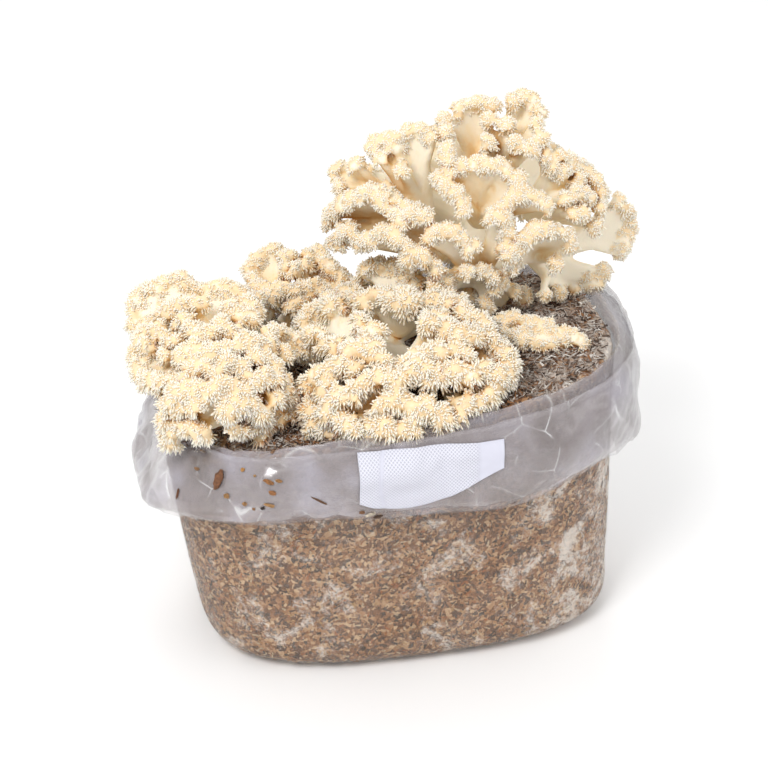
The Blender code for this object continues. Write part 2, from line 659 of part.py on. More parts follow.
def pull_teeth(item, lobes, others, chance):
    """Draws free corners of the lobes out into coarse teeth, clear of other pieces."""
    def is_free(spot, room):
        return all(tree.find_nearest(spot, room)[0] is None for tree in others)

    build = bmesh.new()
    build.from_mesh(item.data)
    bmesh.ops.triangulate(build, faces=build.faces)
    build.normal_update()
    free = {vert for vert in build.verts if is_free(vert.co, TOOTH_ROOM)}
    moves = []
    for vert in build.verts:
        near = min(lobes, key=lambda lobe: (lobe[0] - vert.co).length_squared)
        outward = (vert.co - near[0]).normalized()
        facing = outward.dot(vert.normal) > 0.5 and outward.dot(near[2]) > -0.2
        if not facing or chance.random() < 0.35:
            continue
        ring = [edge.other_vert(vert) for edge in vert.link_edges]
        tip = vert.co + vert.normal * TOOTH * chance.uniform(0.6, 1.3)
        if all(other in free for other in ring) and is_free(tip, TOOTH + TOOTH_ROOM):
            moves.append((vert, tip))
    homes = {vert: vert.co.copy() for vert, _ in moves}
    for vert, tip in moves:
        vert.co = tip
    put_back_crossings(build, homes, others)
    build.to_mesh(item.data)
    build.free()


def put_back_crossings(build, homes, others):
    """Returns drawn out corners whose faces now cross this piece or a neighbour."""
    for _ in range(6):
        build.faces.ensure_lookup_table()
        tree = BVHTree.FromBMesh(build)
        crossed = {a for other in others for a, _ in tree.overlap(other)}
        for a, b in tree.overlap(tree):
            if not set(build.faces[a].verts) & set(build.faces[b].verts):
                crossed.update((a, b))
        moved = [v for k in crossed for v in build.faces[k].verts if v in homes]
        if not moved:
            return
        for vert in moved:
            vert.co = homes.pop(vert, vert.co)
            for face in vert.link_faces:
                for near in face.verts:
                    near.co = homes.pop(near, near.co)


def branch_parts(fork, lobe_size, rims, chance):
    """Limbs from the fork to every lobe, and the lobes as balls."""
    base = Vector(fork) * MM
    limbs, lobes = [], []
    for _, left, middle, right, count in rims:
        spots = along_rim(left, middle, right, count)
        centre = sum(spots, Vector()) / count
        knee = base.lerp(centre, 0.5)
        for k, spot in enumerate(spots):
            radius = lobe_size * MM * chance.uniform(0.82, 1.12)
            bend = knee.lerp(spot, 0.35)
            limbs.append(((base, 6.0 * MM), (bend, 4.2 * MM), (spot, radius * 0.8)))
            lobes.append((spot, radius, (spot - base).normalized()))
    return limbs, lobes


def core_parts(spots, cluster, middle_y, chance):
    """The core's balls with limbs between them, and limbs and lobes of the far side."""
    balls = [(Vector(spot[:3]) * MM, spot[3] * MM) for spot in spots]
    limbs = [[one, other] for one, other in zip(balls, balls[1:])]
    limbs = [[(place, size * 0.8) for place, size in limb] for limb in limbs]
    lobes = []
    if middle_y is not None:
        rims = far_rims(cluster, middle_y)
        far_limbs, lobes = branch_parts(spots[-1][:3], FAR_LOBE, rims, chance)
        limbs += far_limbs
    return limbs, balls + [(spot, radius) for spot, radius, _ in lobes], lobes


def widened(limbs, balls, room):
    """The same limbs and lobes with more girth, to cut room for a piece."""
    wide = [[(place, radius + room) for place, radius in limb] for limb in limbs]
    return wide, [(place, radius + room) for place, radius in balls]


def room_cutter(other, recipe, room, cutters):
    """The space that a neighbour needs, as a cutter."""
    if recipe is None:
        return swollen(other, 0.45 * room, cutters)
    name, limbs, balls, target = recipe
    wide_limbs, wide_balls = widened(limbs, balls, room)
    return grown_form(name + "_room", wide_limbs, wide_balls, VOXEL, 1.3 * target, cutters)


def one_cut(item, cutter, group):
    """A copy of the piece with the cutter's space taken away."""
    copy = mesh_object(item.name, item.data.copy(), group)
    cut = copy.modifiers.new("clear", 'BOOLEAN')
    cut.operation = 'DIFFERENCE'
    cut.solver = 'EXACT'
    cut.object = cutter
    copy.modifiers.new("facets", 'TRIANGULATE')
    copy = frozen(copy, group, item.name)
    drop_crumbs(copy.data)
    return copy


def cut_clear(item, others, group, cutters):
    """Cuts room for every neighbour out of a piece, trying wider room if a cut is faulty."""
    for other, recipe in others:
        if not boxes_meet(item, other, 2.0 * MM):
            continue
        tree = solid_tree(other)
        for room in FORK_ROOMS:
            cutter = room_cutter(other, recipe, room * MM, cutters)
            trial = one_cut(item, cutter, group)
            bpy.data.objects.remove(cutter, do_unlink=True)
            good = trial.data.polygons and is_sound(trial) and not solid_tree(trial).overlap(tree)
            if good or room == FORK_ROOMS[-1]:
                break
            bpy.data.objects.remove(trial, do_unlink=True)
        name = item.name
        bpy.data.objects.remove(item, do_unlink=True)
        item = trial
        item.name = name
    return side_shoots(item, group)


def boxes_meet(one, other, room):
    lows, highs = [], []
    for item in (one, other):
        spots = [v.co for v in item.data.vertices]
        lows.append([min(p[k] for p in spots) - room for k in range(3)])
        highs.append([max(p[k] for p in spots) + room for k in range(3)])
    return all(lows[0][k] < highs[1][k] and lows[1][k] < highs[0][k] for k in range(3))


def swollen(item, room, cutters):
    """A copy grown outwards, to cut room for the piece into its neighbours."""
    graph = bpy.context.evaluated_depsgraph_get()
    mesh = bpy.data.meshes.new_from_object(item.evaluated_get(graph))
    copy = mesh_object(item.name + "_room", mesh, cutters)
    grow = copy.modifiers.new("grow", 'DISPLACE')
    grow.mid_level = 0.0
    grow.strength = room
    copy = frozen(copy, cutters)
    copy.hide_render = True
    copy.display_type = 'WIRE'
    return copy


def main():
    clear_scene()
    kit = new_collection("coral tooth mushroom grow kit")
    cutters = new_collection("cutters")
    sawdust = surface("sawdust block", (0.27, 0.17, 0.1), 0.9)
    film = surface("clear bag film", (0.75, 0.72, 0.7), 0.2, alpha=0.4)
    cloth = surface("filter cloth", (0.85, 0.85, 0.86), 0.8)
    flesh = surface("cream mushroom flesh", (0.88, 0.78, 0.6), 0.6)

    block = make_block(kit, sawdust)
    bag = make_bag(kit, film)
    patch = make_patch(bag, kit, cutters, cloth)

    placed = [(block, None), (bag, None), (patch, None)]
    chance = random.Random(11)
    grown = []
    for name, (spots, cluster, middle_y) in CORES.items():
        limbs, balls, lobes = core_parts(spots, cluster, middle_y, chance)
        target = CORE_TRIANGLES + TRIANGLES_PER_LOBE * len(lobes)
        core = grown_form(name, limbs, balls, VOXEL, target, cutters)
        core = cut_clear(core, placed, kit, cutters)[0]
        placed.append((core, (name, limbs, balls, target)))
        if lobes:
            grown.append((core, lobes))
    for cluster in (REAR, FRONT, LEFT, BACK_LEFT, SPROUT):
        for name, (fork, lobe_size, rims) in cluster.items():
            limbs, lobes = branch_parts(fork, lobe_size, rims, chance)
            balls = [(spot, radius) for spot, radius, _ in lobes]
            target = TRIANGLES_PER_LOBE * len(lobes)
            branch = grown_form(name, limbs, balls, VOXEL, target, cutters)
            pieces = cut_clear(branch, placed, kit, cutters)
            placed += [(piece, (name, limbs, balls, target)) for piece in pieces]
            grown += [(piece, lobes) for piece in pieces]
    for piece, _ in placed[3:]:
        piece.data.materials.clear()
        piece.data.materials.append(flesh)
    trees = {item.name: solid_tree(item) for item in kit.objects}
    for branch, lobes in grown:
        others = [tree for name, tree in trees.items() if name != branch.name]
        pull_teeth(branch, lobes, others, chance)
        trees[branch.name] = solid_tree(branch)


main()
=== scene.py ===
"""Looks of the coral tooth mushroom grow kit: sawdust block, clear rolled down bag,
filter patch, and clusters of branching fungus with fine teeth."""
import math
import random

import bmesh
import bpy
import numpy as np
from mathutils import Matrix, Vector, kdtree, noise
from mathutils.bvhtree import BVHTree


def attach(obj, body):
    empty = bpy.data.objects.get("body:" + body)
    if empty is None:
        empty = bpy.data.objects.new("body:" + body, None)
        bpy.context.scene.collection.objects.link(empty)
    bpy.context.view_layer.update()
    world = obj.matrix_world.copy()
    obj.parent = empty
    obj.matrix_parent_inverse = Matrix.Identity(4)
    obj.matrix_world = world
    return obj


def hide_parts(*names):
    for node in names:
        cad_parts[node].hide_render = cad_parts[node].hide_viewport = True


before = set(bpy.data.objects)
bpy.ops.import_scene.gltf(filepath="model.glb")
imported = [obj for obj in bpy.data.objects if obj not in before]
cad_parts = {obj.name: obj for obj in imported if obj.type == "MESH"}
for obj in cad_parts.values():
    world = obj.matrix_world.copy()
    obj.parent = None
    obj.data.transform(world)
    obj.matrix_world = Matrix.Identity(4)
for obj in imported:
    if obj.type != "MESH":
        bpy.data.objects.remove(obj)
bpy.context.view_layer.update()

MM = 0.001
PHOTO_SIDE = 768

# Camera fitted to the photograph
CAMERA_AZIMUTH = math.radians(-12.0)
CAMERA_ELEVATION = math.radians(29.2)
CAMERA_DISTANCE = 0.8835
CAMERA_AIM = Vector((-0.009, 0.0, 0.117))
CAMERA_LENS = 89.06
SENSOR = 36.0

# Block and bag, as in the part's source
CORNER_POWER = 3.0
BOTTOM_HALF = (99.0 * MM, 64.0 * MM)
TOP_HALF = (106.0 * MM, 70.0 * MM)
TOP_SHIFT = (-10.5 * MM, 3.0 * MM)
TOP_MIDDLE = 129.0 * MM
TOP_SLOPE = 14.6 / 106.0
BASE_ROUNDING = 14.0 * MM
EDGE_ROUNDING = 4.0 * MM
WALL_LUMP = 1.1 * MM
TOP_LUMP = 2.2 * MM
MOUND_PLACE = (-8.0 * MM, 58.0 * MM)
MOUND_HEIGHT = 9.0 * MM
MOUND_REACH = 15.0 * MM
FOLD_RISE = 3.0 * MM
FOLD_ROOM = 4.0 * MM
SLUMP = 9.0 * MM
CLOSEST = 1.3 * MM
HEM_LEFT = 76.0 * MM
HEM_FRONT = 91.0 * MM
HEM_RIGHT = 99.0 * MM
HEM_RIGHT_END = 82.0 * MM
CREASE = 1.6 * MM

# Thickness and detail of the dressed film and block
FILM = 0.16 * MM
BLOCK_INSET = 0.45 * MM
BLOCK_COLUMNS = 360
BAG_COLUMNS = 400
COLLAR_STEPS = 34

# Collar from the fold down to the hem: share of the way down, then how many mm it stands
# out from the wall at the front, the left end, the right front corner and the right end
COLLAR_ROWS = (
    (0.08, 9.5, -7.0, 7.0, 11.0),
    (0.25, 13.4, -2.0, 9.0, 16.0),
    (0.52, 15.0, 6.0, 10.0, 18.0),
    (0.84, 12.6, 14.0, 8.7, 10.0),
    (1.0, 9.0, 8.5, 2.5, 1.6),
)

# Filter patch on the front of the collar
PATCH_FROM = -37.0 * MM
PATCH_TO = 27.0 * MM
PATCH_HIGH = 129.0 * MM
# Height of the patch in mm at even steps along it
PATCH_DROPS = (23.0, 27.5, 28.5, 27.0, 23.0, 18.5, 13.5)
# The curved weld that shows through its left part, and where its smooth margin starts
WELD_PLACE = -27.8 * MM
WELD_BOW = 2.0 * MM
WELD_WIDTH = 0.9 * MM
SMOOTH_FROM = 14.0 * MM


def linear(colour):
    """An sRGB hex colour as linear red, green, blue and alpha."""
    parts = [int(colour[k:k + 2], 16) / 255.0 for k in (1, 3, 5)]
    straight = [c / 12.92 if c <= 0.04045 else ((c + 0.055) / 1.055) ** 2.4 for c in parts]
    return (*straight, 1.0)


def smooth_step(low, high, value):
    t = np.clip((value - low) / (high - low), 0.0, 1.0)
    return t * t * (3.0 - 2.0 * t)


def blend(a, b, t):
    return a + (b - a) * t


def rough_field(points, scale, seed=0.0):
    """Smooth noise from -1 to 1 at every point, with lumps of the given size."""
    shift = Vector((seed * 7.3, seed * 3.1, seed * 5.7))
    flat = np.asarray(points).reshape(-1, 3) / scale
    values = [noise.noise(Vector(p) + shift) for p in flat]
    return np.array(values).reshape(np.shape(points)[:-1])


def facet_field(points, scale, seed=0.0):
    """Flat facets that meet in sharp folds, as crumpled film has, from 0 to about 1."""
    shift = Vector((seed * 4.7, seed * 9.1, seed * 2.3))
    flat = np.asarray(points).reshape(-1, 3) / scale
    values = []
    for p in flat:
        near = noise.voronoi(Vector(p) + shift)[0]
        values.append(near[1] - near[0])
    return np.array(values).reshape(np.shape(points)[:-1])


def unit_outline(angle):
    c, s = np.cos(angle), np.sin(angle)
    reach = (np.abs(c) ** CORNER_POWER + np.abs(s) ** CORNER_POWER) ** (-1.0 / CORNER_POWER)
    return reach * c, reach * s


def top_height(x):
    return TOP_MIDDLE + TOP_SLOPE * (x - TOP_SHIFT[0])


def wall_place(angle, level, out=0.0, height=None):
    """Points of the wall: level 0 at the floor, 1 at the top edge, moved out sideways."""
    ux, uy = unit_outline(angle)
    half_x = blend(BOTTOM_HALF[0], TOP_HALF[0], level) + out
    half_y = blend(BOTTOM_HALF[1], TOP_HALF[1], level) + out
    edge_x = TOP_SHIFT[0] + TOP_HALF[0] * ux
    z = top_height(edge_x) * level if height is None else height
    spots = np.stack((ux * 3.1, uy * 3.1, level * 2.6 + 0.0 * ux), axis=-1)
    lump = WALL_LUMP * rough_field(spots, 1.0) * smooth_step(0.0, 0.25, level)
    x = TOP_SHIFT[0] * level + half_x * ux + lump * ux
    y = TOP_SHIFT[1] * level + half_y * uy + lump * uy
    return np.stack((x, y, z + 0.0 * x), axis=-1)


def level_at(angle, height):
    ux = unit_outline(angle)[0]
    return height / top_height(TOP_SHIFT[0] + TOP_HALF[0] * ux)


def ring_angles(count):
    return 2.0 * math.pi * np.arange(count) / count


def slump(angle):
    return SLUMP * smooth_step(0.55, 1.0, -unit_outline(angle)[0])


def hem_height(angle):
    ux, uy = unit_outline(angle)
    front = blend(HEM_FRONT, HEM_RIGHT, smooth_step(0.3, 0.85, ux))
    front = blend(front, HEM_LEFT, smooth_step(0.6, 1.0, -ux) * smooth_step(-0.9, -0.1, uy))
    end = smooth_step(0.75, 1.0, ux) * smooth_step(-0.95, -0.3, uy)
    return blend(front, HEM_RIGHT_END, end) + 2.0 * MM * np.sin(3.0 * angle + 1.0)


def fold_rise(angle):
    ux, uy = unit_outline(angle)
    lift = smooth_step(0.0, 0.6, -uy) * np.exp(-((ux + 0.5) / 0.35) ** 2)
    return FOLD_RISE + 4.0 * MM * lift


def along_rows(down, column):
    """A column of the collar's rows at any share of the way down, as a smooth curve."""
    shares = np.array([row[0] for row in COLLAR_ROWS])
    values = np.array([row[column] for row in COLLAR_ROWS])
    slopes = np.gradient(values, shares)
    k = int(np.clip(np.searchsorted(shares, down) - 1, 0, len(shares) - 2))
    width = shares[k + 1] - shares[k]
    t = np.clip((down - shares[k]) / width, 0.0, 1.0)
    near = (1 + 2 * t) * (1 - t) ** 2 * values[k] + t * (1 - t) ** 2 * width * slopes[k]
    return near + t * t * (3 - 2 * t) * values[k + 1] - t * t * (1 - t) * width * slopes[k + 1]


def stand_out(angle, down):
    ux, uy = unit_outline(angle)
    front, left, corner, right = (along_rows(down, k) for k in (1, 2, 3, 4))
    out = blend(front, left, smooth_step(0.45, 1.0, -ux))
    end = blend(corner, right, smooth_step(-0.7, 0.4, uy))
    return blend(out, end, smooth_step(0.45, 1.0, ux)) * MM


def broad_crease(angle, down):
    """The broad crumples that the solid has too, in and out."""
    row = 4.0 * down
    wave = np.sin(7.0 * angle + 1.3 * row) + 0.7 * np.sin(13.0 * angle - 2.1 * row + 0.8)
    return CREASE * 0.6 * wave


def mesh_piece(name, places, faces, smooth=True):
    """A new piece at the origin from arrays of places and of faces with equal sides."""
    mesh = bpy.data.meshes.new(name)
    places = np.asarray(places, dtype=np.float32).reshape(-1, 3)
    faces = np.asarray(faces, dtype=np.int32)
    sides = faces.shape[1]
    mesh.vertices.add(len(places))
    mesh.vertices.foreach_set("co", places.ravel())
    mesh.loops.add(faces.size)
    mesh.loops.foreach_set("vertex_index", faces.ravel())
    mesh.polygons.add(len(faces))
    mesh.polygons.foreach_set("loop_start", np.arange(0, faces.size, sides, dtype=np.int32))
    mesh.update(calc_edges=True)
    mesh.validate()
    mesh.polygons.foreach_set("use_smooth", np.full(len(mesh.polygons), smooth))
    piece = bpy.data.objects.new(name, mesh)
    bpy.context.scene.collection.objects.link(piece)
    return piece


def set_attribute(piece, name, values):
    made = piece.data.attributes.new(name, 'FLOAT', 'POINT')
    made.data.foreach_set("value", np.asarray(values, dtype=np.float32))


def set_colours(piece, name, values):
    """A colour for every corner point of the piece, linear red, green and blue."""
    made = piece.data.attributes.new(name, 'FLOAT_COLOR', 'POINT')
    full = np.ones((len(values), 4), dtype=np.float32)
    full[:, :3] = values
    made.data.foreach_set("color", full.ravel())


def apply_all(piece):
    """Applies every modifier of a piece, in order."""
    bpy.ops.object.select_all(action='DESELECT')
    bpy.context.view_layer.objects.active = piece
    piece.select_set(True)
    for modifier in list(piece.modifiers):
        bpy.ops.object.modifier_apply(modifier=modifier.name)


def grid_faces(rows, columns, closed=True):
    """Quads between neighbouring rows of points, row after row."""
    wide = columns if closed else columns - 1
    k = np.arange(wide)
    n = (k + 1) % columns
    low = np.arange(rows - 1)[:, None] * columns
    high = low + columns
    return np.stack((low + k, low + n, high + n, high + k), axis=-1).reshape(-1, 4)


def add_node(tree, kind, settings=None, links=None, stops=None):
    """Adds a node with its settings and links. A hex colour is made linear, and stops are
    the places and colours of a ramp."""
    made = tree.nodes.new(kind)
    for name, value in (settings or {}).items():
        if isinstance(name, str) and hasattr(made, name):
            setattr(made, name, value)
        else:
            made.inputs[name].default_value = linear(value) if isinstance(value, str) else value
    for name, source in (links or {}).items():
        tree.links.new(source, made.inputs[name])
    if stops:
        marks = made.color_ramp.elements
        while len(marks) < len(stops):
            marks.new(0.5)
        for mark, (place, colour) in zip(marks, stops):
            mark.position = place
            mark.color = linear(colour)
    return made


def new_material(name, **sockets):
    """A material with its shader's sockets set by name, words joined by underscores."""
    material = bpy.data.materials.new(name)
    material.use_nodes = True
    shader = material.node_tree.nodes["Principled BSDF"]
    for key, value in sockets.items():
        shader.inputs[key.replace("_", " ")].default_value = value
    return material, material.node_tree, shader


def per_mm(size):
    """Scale of a pattern whose cells or lumps are so many mm wide."""
    return 1000.0 / size


def flesh_material():
    """Fresh mushroom flesh, grown: waxy and a little see-through, cream on its smooth faces, with
    painted shade in tan where rays from it are blocked and among its teeth, almost white at its
    growing teeth."""
    material, tree, shader = new_material(
        "fresh tooth fungus flesh", Roughness=0.6, IOR=1.4, Subsurface_Weight=0.15,
        Subsurface_Scale=1.2 * MM, Specular_IOR_Level=0.35)
    shader.inputs["Subsurface Radius"].default_value = (1.0, 0.62, 0.36)
    places = add_node(tree, 'ShaderNodeTexCoord').outputs["Object"]
    read = {}
    for name in ("openness", "tip", "gap_shade"):
        read[name] = add_node(tree, 'ShaderNodeAttribute', {"attribute_name": name}).outputs["Fac"]
    cloud = add_node(tree, 'ShaderNodeTexNoise', {"Scale": per_mm(8.0), "Detail": 4.0},
                     {"Vector": places})
    shifted = add_node(tree, 'ShaderNodeMath', {"operation": 'MULTIPLY_ADD', 1: 0.3},
                       {0: cloud.outputs["Fac"], 2: read["openness"]})
    # Painted shade: the openness from rays turns the flesh tan where hidden and cream where open
    body = add_node(tree, 'ShaderNodeValToRGB', links={"Fac": shifted.outputs[0]}, stops=(
        (0.2, "#B9783A"), (0.38, "#DBAA68"), (0.56, "#EECF9C"), (0.76, "#F6E3BF"),
        (1.0, "#F9EFDA")))
    # Painted shade: the gap_shade attribute tints the roots of the teeth and the skin between them
    # tan
    crowded = add_node(tree, 'ShaderNodeMix',
                       {"data_type": 'RGBA', "blend_type": 'MULTIPLY', 7: "#F6E2C4"},
                       {0: read["gap_shade"], 6: body.outputs["Color"]})
    colour = add_node(tree, 'ShaderNodeMix', {"data_type": 'RGBA', 7: "#FFFCF4"},
                      {0: read["tip"], 6: crowded.outputs[2]})
    tree.links.new(colour.outputs[2], shader.inputs["Base Color"])
    grain = add_node(tree, 'ShaderNodeTexNoise', {"Scale": per_mm(1.0), "Detail": 3.0},
                     {"Vector": places})
    bump = add_node(tree, 'ShaderNodeBump', {"Distance": 0.25 * MM, "Strength": 0.45},
                    {"Height": grain.outputs["Fac"]})
    tree.links.new(bump.outputs["Normal"], shader.inputs["Normal"])
    return material


def mycelium_share(tree, places):
    """How thickly white mycelium covers each place: torn clouds, more to the right."""
    side = add_node(tree, 'ShaderNodeSeparateXYZ', links={"Vector": places})
    right = add_node(tree, 'ShaderNodeMapRange',
                     {"From Min": 20.0 * MM, "From Max": 95.0 * MM, "To Max": 0.16},
                     {"Value": side.outputs["X"]})
    cloud = add_node(tree, 'ShaderNodeTexNoise',
                     {"Scale": per_mm(19.0), "Detail": 5.0, "Roughness": 0.62, "Distortion": 0.8},
                     {"Vector": places})
    wisp = add_node(tree, 'ShaderNodeTexNoise',
                    {"Scale": per_mm(3.4), "Detail": 4.0, "Roughness": 0.75, "Distortion": 1.6},
                    {"Vector": places})
    both = add_node(tree, 'ShaderNodeMath', {"operation": 'MULTIPLY_ADD', 1: 0.6},
                    {0: wisp.outputs["Fac"], 2: cloud.outputs["Fac"]})
    shifted = add_node(tree, 'ShaderNodeMath', {"operation": 'ADD'},
                       {0: both.outputs[0], 1: right.outputs[0]})
    return add_node(tree, 'ShaderNodeValToRGB', links={"Fac": shifted.outputs[0]}, stops=(
        (0.84, "#000000"), (0.93, "#8A8A8A"), (1.0, "#E0E0E0"))).outputs["Color"]


def sawdust_material():
    """Damp hardwood sawdust, packed by hand and threaded by white mycelium: small brown flakes
    with painted shade as dark dots in the gaps between them, wet where the film lies on them."""
    material, tree, shader = new_material(
        "damp sawdust with mycelium", Roughness=0.6, IOR=1.45, Coat_Weight=0.3,
        Coat_Roughness=0.2)
    places = add_node(tree, 'ShaderNodeTexCoord').outputs["Object"]
    wobble = add_node(tree, 'ShaderNodeTexNoise', {"Scale": per_mm(5.0), "Detail": 2.0},
                      {"Vector": places})
    bent = add_node(tree, 'ShaderNodeMix',
                    {"data_type": 'RGBA', "blend_type": 'ADD', 0: 0.004},
                    {6: places, 7: wobble.outputs["Color"]})
    flakes = add_node(tree, 'ShaderNodeTexVoronoi', {"Scale": per_mm(1.7)},
                      {"Vector": bent.outputs[2]})
    tone = add_node(tree, 'ShaderNodeSeparateColor', links={0: flakes.outputs["Color"]})
    brown = add_node(tree, 'ShaderNodeValToRGB', links={"Fac": tone.outputs[0]}, stops=(
        (0.0, "#2E190C"), (0.2, "#5F3A1F"), (0.45, "#875830"), (0.7, "#A97A4E"),
        (1.0, "#CDAE88")))
    # Painted shade: near-black dots for the shaded gaps between flakes
    gap_shade_spots = add_node(tree, 'ShaderNodeTexVoronoi', {"Scale": per_mm(2.6)}, {"Vector": places})
    dark = add_node(tree, 'ShaderNodeValToRGB', links={"Fac": gap_shade_spots.outputs["Distance"]},
                    stops=((0.16, "#FFFFFF"), (0.24, "#000000")))
    gap_shaded = add_node(tree, 'ShaderNodeMix', {"data_type": 'RGBA', 7: "#170C06"},
                       {0: dark.outputs["Color"], 6: brown.outputs["Color"]})
    mould = add_node(tree, 'ShaderNodeMix', {"data_type": 'RGBA', 7: "#F2ECE4"},
                     {0: mycelium_share(tree, places), 6: gap_shaded.outputs[2]})
    shade = add_node(tree, 'ShaderNodeAttribute', {"attribute_name": "shade"})
    colour = add_node(tree, 'ShaderNodeMix',
                      {"data_type": 'RGBA', "blend_type": 'MULTIPLY', 0: 1.0},
                      {6: mould.outputs[2], 7: shade.outputs["Color"]})
    tree.links.new(colour.outputs[2], shader.inputs["Base Color"])
    bump = add_node(tree, 'ShaderNodeBump', {"Distance": 0.7 * MM, "Strength": 0.8},
                    {"Height": flakes.outputs["Distance"]})
    tree.links.new(bump.outputs["Normal"], shader.inputs["Normal"])
    return material


def chip_material(name, wet, mouldy):
    """Wood flakes and crumbs, split and sawn, each with its own brown: glossy where the
    film presses on them, dull where they are dry, whitened where mycelium has grown in."""
    material, tree, shader = new_material(name, Roughness=0.75, Coat_Weight=wet,
                                          Coat_Roughness=0.2)
    places = add_node(tree, 'ShaderNodeTexCoord').outputs["Object"]
    own = add_node(tree, 'ShaderNodeAttribute', {"attribute_name": "own_colour"})
    grain = add_node(tree, 'ShaderNodeTexNoise', {"Scale": per_mm(0.8), "Detail": 3.0},
                     {"Vector": places})
    worn = add_node(tree, 'ShaderNodeValToRGB', links={"Fac": grain.outputs["Fac"]},
                    stops=((0.3, "#A8A8A8"), (0.7, "#FFFFFF")))
    colour = add_node(tree, 'ShaderNodeMix',
                      {"data_type": 'RGBA', "blend_type": 'MULTIPLY', 0: 1.0},
                      {6: own.outputs["Color"], 7: worn.outputs["Color"]})
    if mouldy:
        colour = add_node(tree, 'ShaderNodeMix', {"data_type": 'RGBA', 7: "#F4EEE6"},
                          {0: mycelium_share(tree, places), 6: colour.outputs[2]})
    tree.links.new(colour.outputs[2], shader.inputs["Base Color"])
    return material


def thread_material():
    """Mycelium threads, grown: soft white fluff on the bare sawdust."""
    material, tree, shader = new_material("white mycelium threads", Roughness=0.9)
    places = add_node(tree, 'ShaderNodeTexCoord').outputs["Object"]
    cloud = add_node(tree, 'ShaderNodeTexNoise', {"Scale": per_mm(6.0)}, {"Vector": places})
    tone = add_node(tree, 'ShaderNodeValToRGB', links={"Fac": cloud.outputs["Fac"]},
                    stops=((0.35, "#B9A99B"), (0.65, "#F3EEE8")))
    tree.links.new(tone.outputs["Color"], shader.inputs["Base Color"])
    return material


def tight_film_material():
    """Blown polypropylene film pulled tight over wet sawdust: a clear gloss that hides
    nothing head on and turns bright at a slant."""
    material, tree, shader = new_material(
        "clear bag film pulled tight", Roughness=0.1, IOR=1.5, Alpha=0.1,
        Specular_IOR_Level=1.0, Coat_Weight=1.0, Coat_Roughness=0.06)
    places = add_node(tree, 'ShaderNodeTexCoord').outputs["Object"]
    cloud = add_node(tree, 'ShaderNodeTexNoise', {"Scale": per_mm(12.0)}, {"Vector": places})
    tone = add_node(tree, 'ShaderNodeValToRGB', links={"Fac": cloud.outputs["Fac"]},
                    stops=((0.3, "#A08C7C"), (0.7, "#CDBFB2")))
    tree.links.new(tone.outputs["Color"], shader.inputs["Base Color"])
    fine = add_node(tree, 'ShaderNodeTexNoise', {"Scale": per_mm(5.0), "Detail": 2.0},
                    {"Vector": places})
    bump = add_node(tree, 'ShaderNodeBump', {"Distance": 0.3 * MM, "Strength": 0.5},
                    {"Height": fine.outputs["Fac"]})
    tree.links.new(bump.outputs["Normal"], shader.inputs["Normal"])
    return material


def loose_film_material(name, alpha):
    """The same film hanging loose and rubbed: hazy lilac grey, with painted highlights as fine
    white streaks along its creases."""
    material, tree, shader = new_material(
        name, Roughness=0.22, IOR=1.5, Alpha=alpha, Specular_IOR_Level=1.0,
        Coat_Weight=1.0, Coat_Roughness=0.08)
    places = add_node(tree, 'ShaderNodeTexCoord').outputs["Object"]
    cloud = add_node(tree, 'ShaderNodeTexNoise', {"Scale": per_mm(24.0), "Detail": 3.0},
                     {"Vector": places})
    haze = add_node(tree, 'ShaderNodeValToRGB', links={"Fac": cloud.outputs["Fac"]},
                    stops=((0.3, "#978D8B"), (0.5, "#B2A9AB"), (0.7, "#CAC5CF")))
    wander = add_node(tree, 'ShaderNodeTexNoise', {"Scale": per_mm(30.0), "Detail": 1.0},
                      {"Vector": places})
    bent = add_node(tree, 'ShaderNodeMix',
                    {"data_type": 'RGBA', "blend_type": 'ADD', 0: 0.012},
                    {6: places, 7: wander.outputs["Color"]})
    # Crease pattern, for the bump and for the painted highlights
    cells = add_node(tree, 'ShaderNodeTexVoronoi',
                     {"Scale": per_mm(19.0), "feature": 'DISTANCE_TO_EDGE'},
                     {"Vector": bent.outputs[2]})
    line = add_node(tree, 'ShaderNodeValToRGB', links={"Fac": cells.outputs["Distance"]},
                    stops=((0.0, "#FFFFFF"), (0.018, "#777777"), (0.034, "#000000")))
    some = add_node(tree, 'ShaderNodeTexNoise', {"Scale": per_mm(17.0)}, {"Vector": places})
    keep = add_node(tree, 'ShaderNodeValToRGB', links={"Fac": some.outputs["Fac"]},
                    stops=((0.48, "#000000"), (0.6, "#FFFFFF")))
    creases_and_highlights = add_node(tree, 'ShaderNodeMath', {"operation": 'MULTIPLY'},
                     {0: line.outputs["Color"], 1: keep.outputs["Color"]})
    # Painted highlights: the creases turn white in patches
    colour = add_node(tree, 'ShaderNodeMix', {"data_type": 'RGBA', 7: "#FFFFFF"},
                      {0: creases_and_highlights.outputs[0], 6: haze.outputs["Color"]})
    tree.links.new(colour.outputs[2], shader.inputs["Base Color"])
    fine = add_node(tree, 'ShaderNodeTexNoise', {"Scale": per_mm(9.0), "Detail": 2.0},
                    {"Vector": places})
    height = add_node(tree, 'ShaderNodeMath', {"operation": 'MULTIPLY_ADD', 1: 0.6},
                      {0: creases_and_highlights.outputs[0], 2: fine.outputs["Fac"]})
    bump = add_node(tree, 'ShaderNodeBump', {"Distance": 0.5 * MM, "Strength": 0.6},
                    {"Height": height.outputs[0]})
    tree.links.new(bump.outputs["Normal"], shader.inputs["Normal"])
    return material


